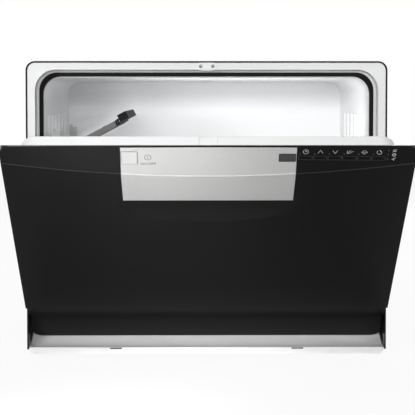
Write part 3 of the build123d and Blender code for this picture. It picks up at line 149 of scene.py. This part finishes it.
MM = 0.001
TONE_NOISE = (14.0, 4.0)      # scale per metre and detail of the slow patches of colour
GLOSS_NOISE = (31.0, 6.0)     # the same of the drift in gloss
RELIEF_DETAIL = 2.0
BEVEL_RAYS = 4


def finish(name, colour, roughness, metallic=0.0, mottle=0.05, grain=0.9, relief=0.02, along=(1, 1, 1),
           edge=0.4, wear=0.12, specular=0.5):
    """A finish as its maker would order it. The colour drifts by a share, mottle, in slow patches. The gloss
    drifts by a share, wear. The relief is a fine noise of one grain size, in mm, stretched along an axis,
    and edge is the radius in mm to which sharp edges are rounded in the shading."""
    material = bpy.data.materials.new(name)
    material.use_nodes = True
    nodes, links = material.node_tree.nodes, material.node_tree.links
    shader = nodes["Principled BSDF"]
    shader.inputs["Metallic"].default_value = metallic
    shader.inputs["Specular IOR Level"].default_value = specular
    place = nodes.new("ShaderNodeTexCoord")

    def noise(scale, detail, where):
        texture = nodes.new("ShaderNodeTexNoise")
        texture.inputs["Scale"].default_value = scale
        texture.inputs["Detail"].default_value = detail
        links.new(where, texture.inputs["Vector"])
        return texture.outputs["Fac"]

    tone = nodes.new("ShaderNodeMix")
    tone.data_type = "RGBA"
    tone.inputs[6].default_value = (*(c * (1 - mottle) for c in colour), 1)
    tone.inputs[7].default_value = (*(min(1.0, c * (1 + mottle)) for c in colour), 1)
    links.new(noise(*TONE_NOISE, place.outputs["Object"]), tone.inputs[0])
    links.new(tone.outputs[2], shader.inputs["Base Color"])

    gloss = nodes.new("ShaderNodeMapRange")
    gloss.inputs["To Min"].default_value = roughness * (1 - wear)
    gloss.inputs["To Max"].default_value = roughness * (1 + wear)
    links.new(noise(*GLOSS_NOISE, place.outputs["Object"]), gloss.inputs["Value"])
    links.new(gloss.outputs["Result"], shader.inputs["Roughness"])

    turned = nodes.new("ShaderNodeMapping")
    turned.inputs["Scale"].default_value = along
    links.new(place.outputs["Object"], turned.inputs["Vector"])
    bump = nodes.new("ShaderNodeBump")
    bump.inputs["Distance"].default_value = relief * MM
    links.new(noise(1 / (grain * MM), RELIEF_DETAIL, turned.outputs["Vector"]), bump.inputs["Height"])
    soft = nodes.new("ShaderNodeBevel")
    soft.samples = BEVEL_RAYS
    soft.inputs["Radius"].default_value = edge * MM
    links.new(soft.outputs["Normal"], bump.inputs["Normal"])
    links.new(bump.outputs["Normal"], shader.inputs["Normal"])
    return material


def wear_finish(material, slot, *names):
    """Gives carried-over pieces a finish. The slot is not used."""
    for name in names:
        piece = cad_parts[name]
        piece.data.materials.clear()
        piece.data.materials.append(material)


black_enamel = finish("black_enamel", (0.005, 0.005, 0.0055), 0.22, grain=2.5, relief=0.012, edge=0.3,
                      specular=0.22)
wear_finish(black_enamel, "black_sheet", "casing")
galvanised = finish("galvanised", (0.50, 0.51, 0.52), 0.42, metallic=0.85, mottle=0.14, grain=6.0,
                    relief=0.01, wear=0.3)
wear_finish(galvanised, "grey_sheet", "rear_cover")


# ---------------------------------------------------------------- base tray and feet
# The tray is one white polypropylene moulding with a spark-eroded satin face. It carries everything
# and shows in front as a low lip and a hollow. Four black rubber feet are pushed into it.

white_moulding = finish("white_moulding", (0.76, 0.76, 0.755), 0.42, mottle=0.012, grain=0.7, relief=0.010)
wear_finish(white_moulding, "white_plastic", "base_tray")
rubber = finish("rubber", (0.007, 0.007, 0.0075), 0.60, mottle=0.2, grain=0.5, relief=0.02, specular=0.15)
wear_finish(rubber, "black_rubber", "feet")


# ---------------------------------------------------------------- front frame, sill, gasket and striker
# The white frame is a satin moulding clipped into the case. A black rubber seal with a hollow section
# lies in its stepped mouth. The striker is a thin bent plate, finished white like the frame and held by
# two small screws. Two slots in the base tray's lip are filled with black pads: painted shade of the slots.

wear_finish(white_moulding, "white_plastic", "front_frame", "door_sill")
wear_finish(rubber, "black_rubber", "door_gasket")

MIDDLE = 117.3317             # from the frame's origin to the cabinet's front plane, in mm
BACK = 481.0                  # rear cover's outer face behind the front plane
COVER_SCREWS = [(side * 258.5, BACK - MIDDLE, z) for side in (-1, 1) for z in (30.0, 160.0, 290.0, 420.0)]
PLATE_FACE = -1.0 - MIDDLE    # y of the striker plate's front
STRIKER_SCREWS = [(side * 9.1, PLATE_FACE, 439.3) for side in (-1, 1)]
SEAL_FRONT = 25.5             # the seal's front face behind the front plane
SLOPE = ((0.1, -5.0), (3.4, -0.9), (3.4, -0.2), (0.1, -0.2))    # in from the mouth, back from the seal
MOUTH_HALF, MOUTH_TOP, MOUTH_RADIUS, MOUTH_FOOT = 258.6, 433.8, 31.0, 108.0
SLOT_X, SLOT_Y, SLOT_Z = 138.0, 0.5 - MIDDLE, 11.2              # middles of the two slots in the tray's lip


def new_piece(name, points, faces, material, slot, body, *stands_for):
    """Makes a mesh of points in mm an object that rides on a body and stands for CAD nodes. The slot is not
    used.
    """
    mesh = bpy.data.meshes.new(name)
    mesh.from_pydata((points * MM).tolist(), [], faces)
    piece = bpy.data.objects.new(name, mesh)
    scene.collection.objects.link(piece)
    mesh.materials.append(material)
    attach(piece, body)
    if stands_for:
        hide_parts(*stands_for)


def screw_heads(name, centres, outward, radius, height, body, stands_for):
    """Pan heads with a cross recess. A head is a dome, w = height * (1 - (r / radius)^4), less a cross
    that is deepest in the middle. Centres and sizes are in mm, and outward is the heads' direction."""
    turns, rings = 48, 14
    r, a = np.meshgrid(np.linspace(0, 1, rings + 1)[1:] * radius, np.arange(turns) * 2 * np.pi / turns,
                       indexing="ij")
    u, v = r * np.cos(a), r * np.sin(a)
    arm, half, deep = 0.62 * radius, 0.13 * radius, 0.7 * height
    cross = np.maximum((np.abs(u) < half) * np.clip(1 - np.abs(v) / arm, 0, 1),
                       (np.abs(v) < half) * np.clip(1 - np.abs(u) / arm, 0, 1))
    w = height * (1 - (r / radius) ** 4) - deep * cross ** 0.4
    top = np.stack([u, v, w], axis=-1).reshape(-1, 3)
    points = np.vstack([top, [[0, 0, height - deep], [0, 0, 0]]])
    i = np.arange(turns)
    k = (i + 1) % turns
    walls = [np.stack([q * turns + i, (q + 1) * turns + i, (q + 1) * turns + k, q * turns + k], axis=1)
             for q in range(rings - 1)]
    last = (rings - 1) * turns
    fans = [np.stack([np.full(turns, rings * turns), i, k], axis=1),
            np.stack([np.full(turns, rings * turns + 1), last + k, last + i], axis=1)]
    n = Vector(outward).normalized()
    across = Vector((1, 0, 0))
    axes = np.array([across, n.cross(across), n])
    heads = np.concatenate([points @ axes + np.array(centre) for centre in centres])
    faces = [(part + c * len(points)).tolist() for c in range(len(centres)) for part in walls + fans]
    new_piece(name, heads, [face for part in faces for face in part], zinc, "zinc", body, stands_for)


def rounded(half_wide, half_tall, radius):
    """Ring of points of a rectangle with quarter-circle corners, round its own middle."""
    angle = np.linspace(0, np.pi / 2, 7)
    ring = [np.stack([sx * (half_wide - radius) + radius * np.cos(angle + turn),
                      sy * (half_tall - radius) + radius * np.sin(angle + turn)], axis=1)
            for turn, sx, sy in ((0, 1, 1), (np.pi / 2, -1, 1), (np.pi, -1, -1), (3 * np.pi / 2, 1, -1))]
    return np.concatenate(ring)


def lofted(name, stacks, material, slot, body, *stands_for):
    """A closed skin over each stack of rings, of shape (rings, points, 3) in mm: p = ring[i][j], a quad
    between neighbours, and the first and last ring closed by a fan from its middle. Turned outward by
    the sign of its volume, sum(a . (b x c)) / 6."""
    points, faces, start = [], [], 0
    for stack in stacks:
        rings, count = stack.shape[:2]
        flat = np.vstack([stack.reshape(-1, 3), stack[0].mean(axis=0), stack[-1].mean(axis=0)])
        j = np.arange(count)
        k = (j + 1) % count
        i = np.arange(rings - 1)[:, None] * count
        quads = np.stack([i + j, i + k, i + count + k, i + count + j], axis=-1).reshape(-1, 4)
        first = np.stack([np.full(count, rings * count), k, j], axis=1)
        last = np.stack([np.full(count, rings * count + 1), j + (rings - 1) * count,
                         k + (rings - 1) * count], axis=1)
        triangles = np.concatenate([quads[:, :3], quads[:, [0, 2, 3]], first, last])
        a, b, c = (flat[triangles[:, corner]] for corner in range(3))
        turned = 1 if (a * np.cross(b, c)).sum() > 0 else -1
        faces += [face for part in (quads, first, last) for face in (start + part[:, ::turned]).tolist()]
        points.append(flat)
        start += len(flat)
    new_piece(name, np.concatenate(points), faces, material, slot, body, *stands_for)


def plate_stack(middle, half_wide, half_tall, radius, thick, bevel=0.4):
    """Rings of a flat plate that faces the front, its front edges eased."""
    def ring(shrink, behind):
        flat = rounded(half_wide - shrink, half_tall - shrink, radius)
        return np.stack([middle[0] + flat[:, 0], np.full(len(flat), middle[1] + behind),
                         middle[2] + flat[:, 1]], axis=1)
    return np.stack([ring(0, thick), ring(0, bevel), ring(bevel * 0.3, bevel * 0.3), ring(bevel, 0)])


def arch_line(inward, y):
    """Open line up the left of the frame's mouth, over its two round corners and down the right."""
    half, top, radius = MOUTH_HALF - inward, MOUTH_TOP - inward, MOUTH_RADIUS - inward
    turn = np.linspace(0, np.pi / 2, 17)
    left = np.stack([radius - half - radius * np.cos(turn), top - radius + radius * np.sin(turn)], axis=1)
    right = (left * (-1, 1))[::-1]
    line = np.concatenate([[(-half, MOUTH_FOOT)], left, right, [(half, MOUTH_FOOT)]])
    return np.stack([line[:, 0], np.full(len(line), y - MIDDLE), line[:, 1]], axis=1)


zinc = finish("zinc", (0.36, 0.36, 0.35), 0.34, metallic=1.0, mottle=0.08, grain=0.5, relief=0.01, wear=0.3)
wear_finish(zinc, "zinc", "latch_striker", "cabinet_screws", "hinge_brackets", "hinge_pins", "hinge_arms",
            "door_springs", "liner_screws")
screw_heads("cover_screw_heads", COVER_SCREWS, (0, 1, 0), 4.0, 1.8, "cabinet", "cabinet_screws")
screw_heads("striker_screw_heads", STRIKER_SCREWS, (0, -1, 0), 2.6, 1.4, "cabinet", "cabinet_screws")
plate = plate_stack((0, PLATE_FACE, 439.2), 14.0, 5.6, 2.0, 1.0)
tab = plate_stack((0, PLATE_FACE, 433.1), 10.0, 0.6, 0.5, 24.0, bevel=0.3)
lofted("striker_plate", [plate, tab], white_moulding, "zinc", "cabinet", "latch_striker")
slope = np.stack([arch_line(inward, SEAL_FRONT + behind) for inward, behind in SLOPE], axis=1)
lofted("mouth_slope", [slope], white_moulding, "white_plastic", "cabinet")
# Black pads fill the two slots in the lip, as painted shade of the slots' hollows.
pads = [plate_stack((side * SLOT_X, SLOT_Y, SLOT_Z), 8.9, 0.9, 0.4, 3.3, bevel=0.2) for side in (-1, 1)]
lofted("lip_slot_shade", pads, rubber, "black_rubber", "cabinet")


# ---------------------------------------------------------------- wash tub
# A one-piece moulded tub, pale grey and slightly glossy, with roller ledges and faint flow marks that
# run from front to back.

tub_grey = finish("tub_grey", (0.84, 0.845, 0.85), 0.34, mottle=0.008, grain=1.6, relief=0.004,
                  along=(1, 0.2, 1), edge=1.5, wear=0.03)
wear_finish(tub_grey, "tub_plastic", "wash_tub")


# ---------------------------------------------------------------- sump, filter, spray arm, salt and float
# Below the tub hangs the sump, closed by a perforated steel strainer. The spray arm turns on its hub,
# and the grey filter cup, the salt cap and the float all show in the tub's floor.

grey_moulding = finish("grey_moulding", (0.30, 0.31, 0.32), 0.40, mottle=0.03, grain=0.7, relief=0.012)
dark_moulding = finish("dark_moulding", (0.045, 0.045, 0.048), 0.38, mottle=0.06, grain=0.7, relief=0.012)
blue_moulding = finish("blue_moulding", (0.05, 0.13, 0.33), 0.38, mottle=0.04, grain=0.7, relief=0.012)
steel = finish("steel", (0.66, 0.66, 0.65), 0.26, metallic=1.0, mottle=0.04, grain=0.6, relief=0.006,
               along=(1, 14, 1), wear=0.25)
wear_finish(grey_moulding, "grey_plastic", "spray_arm", "spray_hub", "filter_cup", "salt_cap", "float_cap")
wear_finish(dark_moulding, "dark_plastic", "sump", "circulation_pump", "drain_pump", "float_switch",
            "cable_gland", "softener_tank", "air_break", "drain_outlet")
wear_finish(steel, "steel", "filter_plate", "flow_heater")
wear_finish(white_moulding, "white_plastic", "inlet_valve")


# ---------------------------------------------------------------- basket
# The rack is welded from round steel wire and dipped in pale grey nylon. It runs on four rollers. The
# fold-down cup shelf at its left is a grey moulding with darker rims and a ribbed rubber grip.

nylon = finish("nylon", (0.50, 0.51, 0.52), 0.40, mottle=0.03, grain=0.8, relief=0.02)
wear_finish(nylon, "coated_wire", "basket_floor", "basket_front", "basket_back", "basket_left",
            "basket_right", "plate_tines")
slate_moulding = finish("slate_moulding", (0.12, 0.12, 0.122), 0.42, mottle=0.03, grain=0.7, relief=0.012)
wear_finish(grey_moulding, "grey_plastic", "front_roller_left", "front_roller_right", "rear_roller_left",
            "rear_roller_right", "cutlery_basket", "cup_shelf")

SHELF = (-232.0, 306.0)       # x and z of the cup shelf's pivots
SHELF_LONG = 122.0
SHELF_TILT = math.radians(28.0)
BAR_RADIUS = 0.9
GRIP = (SHELF_LONG - 6.0, 2.2, 7.5, 6.0, 71.0, 319.0)
RIBS = [(SHELF_LONG - 16.0 - 3.4 * i, -1.4 - 0.5 * i, 1.3, 4.6 - 0.2 * i, 71.2, 318.8) for i in range(4)]
RIMS = [(62.0, -2.2, 38.0, 4.4, y - 1.6, y + 1.6) for y in (72.4, 317.6)]


def on_shelf(x, y, z):
    """Places points given along the level shelf from its pivots, tilted to its rest."""
    return np.stack([SHELF[0] + x * math.cos(SHELF_TILT) - z * math.sin(SHELF_TILT), y - MIDDLE,
                     SHELF[1] + x * math.sin(SHELF_TILT) + z * math.cos(SHELF_TILT)], axis=-1)


def shelf_bars(bars):
    """Bars along the shelf, each (middle x, middle z, half width, half thickness, first y, last y)."""
    stacks = []
    for x, z, half_wide, half_thick, first, last in bars:
        ring = rounded(half_wide, half_thick, BAR_RADIUS)
        y = np.linspace(first, last, 40)[:, None] + 0 * ring[None, :, 0]
        stacks.append(on_shelf(x + ring[None, :, 0] + 0 * y, y, z + ring[None, :, 1] + 0 * y))
    return stacks


lofted("shelf_grip", shelf_bars([GRIP] + RIBS), rubber, "grey_plastic", "cup_shelf")
lofted("shelf_rims", shelf_bars(RIMS), slate_moulding, "grey_plastic", "cup_shelf")


# ---------------------------------------------------------------- door skin, liner and lock
# The door is a gloss black moulding in front and a white one behind, screwed together along both sides.
# The lock sits between them, and a thin white strip round the liner's top edge covers its slot.

black_gloss = finish("black_gloss", (0.0020, 0.0020, 0.0023), 0.18, mottle=0.05, grain=1.2, relief=0.006,
                     edge=1.0, specular=0.16)
wear_finish(black_gloss, "black_plastic", "door_shell")
wear_finish(white_moulding, "white_plastic", "door_liner")
wear_finish(grey_moulding, "grey_plastic", "dispenser_housing", "dispenser_lid")
wear_finish(blue_moulding, "blue_plastic", "rinse_aid_cap")
wear_finish(dark_moulding, "dark_plastic", "latch_pawl")
wear_finish(white_moulding, "white_plastic", "door_lock_body")

OPEN = math.radians(45.0)
HINGE_UP = 88.0
STRIP_HALF, STRIP_THICK = 12.3, 1.6
STRIP_START, STRIP_END = (2.4, 421.6), (24.8, 410.6)            # y and z on the shut door
STRIP_BEND, STRIP_RADIUS = (20.8, 417.6), 4.0
LINER_SCREWS = [(side * 261.0, -3.0, z) for side in (-1, 1) for z in (138.0, 248.0, 358.0)]


def opened(points):
    """Turns points that are given on the shut door by its half-open angle about the hinge pins."""
    x, y, z = np.moveaxis(points, -1, 0)
    z = z - HINGE_UP
    return np.stack([x, y * math.cos(OPEN) - z * math.sin(OPEN) - MIDDLE,
                     HINGE_UP + y * math.sin(OPEN) + z * math.cos(OPEN)], axis=-1)


bend = np.linspace(0, np.pi / 2, 7)
away = np.stack([np.sin(bend), np.cos(bend)], axis=1)
outer = np.concatenate([[STRIP_START], STRIP_BEND + STRIP_RADIUS * away, [STRIP_END]])
inner = outer - STRIP_THICK * np.concatenate([away[:1], away, away[-1:]])
strip = np.stack([np.column_stack([np.full(len(face), side * STRIP_HALF), face])
                  for side, face in ((-1, outer), (1, outer), (1, inner), (-1, inner))], axis=1)
lofted("latch_mouth", [opened(strip)], white_moulding, "white_plastic", "door")
screw_heads("liner_screw_heads", opened(np.array(LINER_SCREWS)).tolist(), (0, math.cos(OPEN), math.sin(OPEN)),
            3.2, 1.6, "door", "liner_screws")
resin_board = finish("resin_board", (0.03, 0.16, 0.07), 0.35, mottle=0.08)
wear_finish(resin_board, "board", "control_board")


# ---------------------------------------------------------------- control band
# A silver lacquered moulding with a fine metallic flake is clipped over the door's middle and carries
# the on/off key and the display. Six black keys stand beside it.

silver = finish("silver", (0.60, 0.60, 0.59), 0.34, metallic=0.75, mottle=0.02, grain=0.35, relief=0.010,
                edge=1.2)
wear_finish(silver, "silver_plastic", "control_fascia")
pale_silver = finish("pale_silver", (0.63, 0.63, 0.62), 0.32, metallic=0.75, mottle=0.02, grain=0.35,
                     relief=0.010, edge=0.6)
wear_finish(pale_silver, "silver_plastic", "on_off_button")
smoked = finish("smoked", (0.035, 0.035, 0.037), 0.16, mottle=0.05, grain=2.0, relief=0.002, specular=0.35)
wear_finish(smoked, "dark_window", "display_window")
key_black = finish("key_black", (0.0025, 0.0025, 0.0027), 0.34, mottle=0.05, grain=0.5, relief=0.01, edge=0.3,
                   specular=0.12)
wear_finish(key_black, "black_plastic", *(f"option_button_{i}" for i in range(1, 7)))


# ---------------------------------------------------------------- creases and printing on the control band
# A fine bead runs along the crease below the band, which is a hollow cylinder with its axis up the
# door. The beads catch real light, but their colour is lighter than the faces beside them, a painted
# highlight along the crease. Pale pictograms are pad-printed above the six keys and beside them, grey
# ones beside the on/off key, dark rings round the keys are painted shade of their edges, and each key
# has a dark dash, painted shade of the hollow in its middle. All of it turns with the open door.

LEAN = math.atan2(6.0, 53.5)                # of the band's middle line
CREASE = (-20.0, 391.5)                     # y and z of the crease in the middle, door shut
SAG = 26.0 * math.sin(LEAN)
BOW = (272.5 ** 2 + SAG ** 2) / (2 * SAG)   # radius of the hollow cylinder
PRINT_DEEP, PRINT_PROUD = 0.25, 0.10
RIM_PROUD, DASH_SHADE_PROUD = 0.08, 0.72
KEYS = [126.8 + 19.2 * i for i in range(6)]
KEY_S = 32.5 / math.cos(LEAN)               # middle of the keys, up the band from the crease
PICTURE_S = KEY_S + 10.6
WORD_S = KEY_S - 10.4
POWER_KEY, POWER, DISPLAY = -103.8, -79.6, 103.4
LAMP_X = 242.6
CAP_HALF = 1.5                              # half the height of the printed capitals


def on_band(x, s, out):
    """Places points given across the band, up the band from the crease, and out of its face, all in mm:
    p = crease + s * up + (bow(x) + out) * normal, with bow(x) = R - sqrt(R^2 - x^2), then turned open."""
    rise = BOW - np.sqrt(BOW ** 2 - x ** 2) + out
    return opened(np.stack([x, CREASE[0] + s * math.sin(LEAN) - rise * math.cos(LEAN),
                            CREASE[1] + s * math.cos(LEAN) + rise * math.sin(LEAN)], axis=-1))


def crease_bead(first, last, wide, proud):
    """Rings of a low bead along the crease, where the band meets the flat face: s = bow(x) / tan(lean)."""
    x = np.linspace(first, last, 61)[:, None]
    turn = np.arange(12) * np.pi / 6
    s = (BOW - np.sqrt(BOW ** 2 - x ** 2)) / math.tan(LEAN)
    return on_band(x + 0 * turn, s + wide * np.cos(turn), proud * np.sin(turn))


def printed(name, strokes, width, proud, material, slot, body):
    """Flat strokes on the band, each a line of (x, s) points swept with a rectangular section. At a
    corner the section is widened by 1 / cos(half the turn), so that the stroke keeps its width."""
    sections, faces, start = [], [], 0
    for stroke in strokes:
        line = np.array(stroke, float)
        ring = bool(np.allclose(line[0], line[-1]))
        if ring:
            line = line[:-1]
        before = np.roll(line, 1, axis=0)
        after = np.roll(line, -1, axis=0)
        if not ring:
            before[0], after[-1] = 2 * line[0] - line[1], 2 * line[-1] - line[-2]
        a = (line - before) / np.linalg.norm(line - before, axis=1, keepdims=True)
        b = (after - line) / np.linalg.norm(after - line, axis=1, keepdims=True)
        run = (a + b) / np.linalg.norm(a + b, axis=1, keepdims=True)
        side = np.stack([-run[:, 1], run[:, 0]], axis=1)
        side *= width / 2 / np.clip((a * run).sum(axis=1, keepdims=True), 0.5, 1)
        left, right = (line + side).T, (line - side).T
        section = np.stack([on_band(*left, proud), on_band(*left, -PRINT_DEEP), on_band(*right, -PRINT_DEEP),
                            on_band(*right, proud)], axis=1)
        count = len(line)
        i = np.arange(count if ring else count - 1)
        k = (i + 1) % count
        for c in range(4):
            d = (c + 1) % 4
            faces += (start + np.stack([i * 4 + c, i * 4 + d, k * 4 + d, k * 4 + c], axis=1)).tolist()
        if not ring:
            end = start + 4 * (count - 1)
            faces += [[start, start + 3, start + 2, start + 1], [end, end + 1, end + 2, end + 3]]
        sections.append(section.reshape(-1, 3))
        start += 4 * count
    new_piece(name, np.concatenate(sections), faces, material, slot, body)


def arc(x, s, radius, first=0, last=360):
    """Points of an arc, in degrees from the x axis."""
    angle = np.radians(np.linspace(first, last, 33))
    return np.stack([x + radius * np.cos(angle), s + radius * np.sin(angle)], axis=1)


def outline(x, half_wide, half_tall, radius):
    """Closed line round a key or a window."""
    ring = rounded(half_wide, half_tall, radius) + (x, KEY_S)
    return np.vstack([ring, ring[:1]])


def moved(strokes, x, s):
    """Moves strokes drawn round their own middle to a place on the band."""
    return [np.array(stroke) + (x, s) for stroke in strokes]


def ink(name, colour, roughness=0.5, specular=0.5):
    """A thin even ink."""
    return finish(name, colour, roughness, mottle=0.03, grain=0.3, relief=0.004, edge=0.02, specular=specular)


# The silver bead's near-white metal is brighter than the band: a painted highlight along a real crease.
painted_highlight_silver_bead = finish("painted_highlight_silver_bead", (0.93, 0.93, 0.93), 0.16, metallic=1.0, mottle=0.01, grain=0.5,
                     relief=0.002, edge=0.05)
# The black bead is a touch lighter and glossier than the door: a painted dim highlight along the crease.
painted_highlight_black_bead = finish("painted_highlight_black_bead", (0.006, 0.006, 0.0065), 0.22, mottle=0.05, grain=1.2, relief=0.002, edge=0.05)
lofted("silver_crease", [crease_bead(-115.4, 115.4, 0.9, 0.5)], painted_highlight_silver_bead, "silver_plastic", "door")
lofted("black_creases", [crease_bead(-270.0, -117.0, 0.7, 0.35), crease_bead(117.0, 270.0, 0.7, 0.35)],
       painted_highlight_black_bead, "black_plastic", "door")

pale_ink = ink("pale_ink", (0.42, 0.42, 0.41))
dim_ink = ink("dim_ink", (0.16, 0.16, 0.16))
grey_ink = ink("grey_ink", (0.05, 0.05, 0.05))
# Near-black ink for the display window's outline, and for the painted shade in the keys' hollows.
near_black_ink_and_shade = ink("near_black_ink_and_shade", (0.002, 0.002, 0.002), roughness=0.7, specular=0.05)
gap_shade_ink = ink("gap_shade_ink", (0.024, 0.024, 0.026))
power_shade_ink = ink("power_shade_ink", (0.12, 0.12, 0.12))

# Dark rings round the option keys are painted shade of the gaps round their edges.
key_gap_shades = [outline(key, 8.95, 3.15, 0.8) for key in KEYS]
printed("key_gap_shades", key_gap_shades, 0.5, RIM_PROUD, gap_shade_ink, "silver_plastic", "door")
# The grey ring round the on/off key is painted shade of the gap round it.
printed("power_gap_shade", [outline(POWER_KEY, 10.95, 10.95, 1.2)], 0.4, RIM_PROUD, power_shade_ink, "dark_window", "door")
printed("window_rim", [outline(DISPLAY, 11.15, 6.8, 1.2)], 0.5, RIM_PROUD, near_black_ink_and_shade, "dark_window", "door")

clock = [arc(0, 0, 3.5), [(0, 2.2), (0, 0), (1.7, 1.2)]]
up = [[(-3.3, -2.6), (0, 2.8), (3.3, -2.6)]]
down = [[(-3.3, 2.6), (0, -2.8), (3.3, 2.6)]]
load = [[(-3.8, -2.8), (1.2, 3.0)], arc(-1.0, 0.4, 2.6, 130, 350), [(1.6, 0.2), (5.0, 1.2)]]
cover = [arc(0, -0.6, 3.2, 0, 180), [(-4.0, -0.8), (4.0, -0.8)], [(-2.2, -2.8), (2.2, -2.8)]]
again = [arc(0, 0, 3.2, -240, 60), [(-0.6, 3.6), (1.9, 2.7), (1.2, 0.4)]]
pictures = [stroke for key, picture in zip(KEYS, (clock, up, down, load, cover, again))
            for stroke in moved(picture, key, PICTURE_S)]
printed("key_pictures", pictures, 0.52, PRINT_PROUD, pale_ink, "silver_plastic", "door")

wave = [(-2.4, 14.6), (2.4, 16.0), (-2.4, 11.8), (2.4, 13.2)]
disc = [arc(0, 6.6, 2.2), [(-0.9, 6.6), (0.9, 6.6)]]
tap = [[(-2.6, -1.6), (0, 0.2), (2.6, 1.8)], [(0, 0.2), (0.4, -3.4)]]
printed("lamp_pictures", moved([wave, *disc, *tap], LAMP_X, KEY_S), 0.8, PRINT_PROUD, pale_ink,
        "silver_plastic", "door")
dots = [arc(key - 7.2, KEY_S + 7.0, 0.35) for key in KEYS]
dots += [arc(LAMP_X - 8.0, KEY_S + rise, 0.35) for rise in (13.9, 6.6, -1.0)]
printed("lamp_dots", dots, 0.5, PRINT_PROUD, dim_ink, "silver_plastic", "door")

# Each key's dark dash is painted shade of the hollow in its middle.
for i, key in enumerate(KEYS):
    printed(f"key_hollow_shade_{i + 1}", [[(key - 3.6, KEY_S + 0.7), (key + 3.6, KEY_S + 0.7)]], 1.3, DASH_SHADE_PROUD,
            near_black_ink_and_shade, "black_plastic", f"option_button_{i + 1}")

power_ring = moved([arc(0, 0.6, 4.3), [(0, 2.8), (0, -1.6)]], POWER, KEY_S)
printed("power_ring", power_ring, 0.65, PRINT_PROUD, grey_ink, "dark_window", "door")
letter_o = arc(0, 0, CAP_HALF)
letter_n = [(-1.3, -CAP_HALF), (-1.3, CAP_HALF), (1.3, -CAP_HALF), (1.3, CAP_HALF)]
letter_f = [[(0, -CAP_HALF), (0, CAP_HALF), (2.0, CAP_HALF)], [(0, 0.1), (1.6, 0.1)]]
slash = [(-0.9, -CAP_HALF - 0.3), (0.6, CAP_HALF + 0.3)]
words = ((-7.9, [letter_o]), (-3.8, [letter_n]), (0, [slash]),
         (3.1, [letter_o]), (5.9, letter_f), (8.9, letter_f))
power_words = [stroke for right, letter in words for stroke in moved(letter, POWER + right, WORD_S)]
printed("power_picture", power_words, 0.6, PRINT_PROUD, grey_ink, "dark_window", "door")
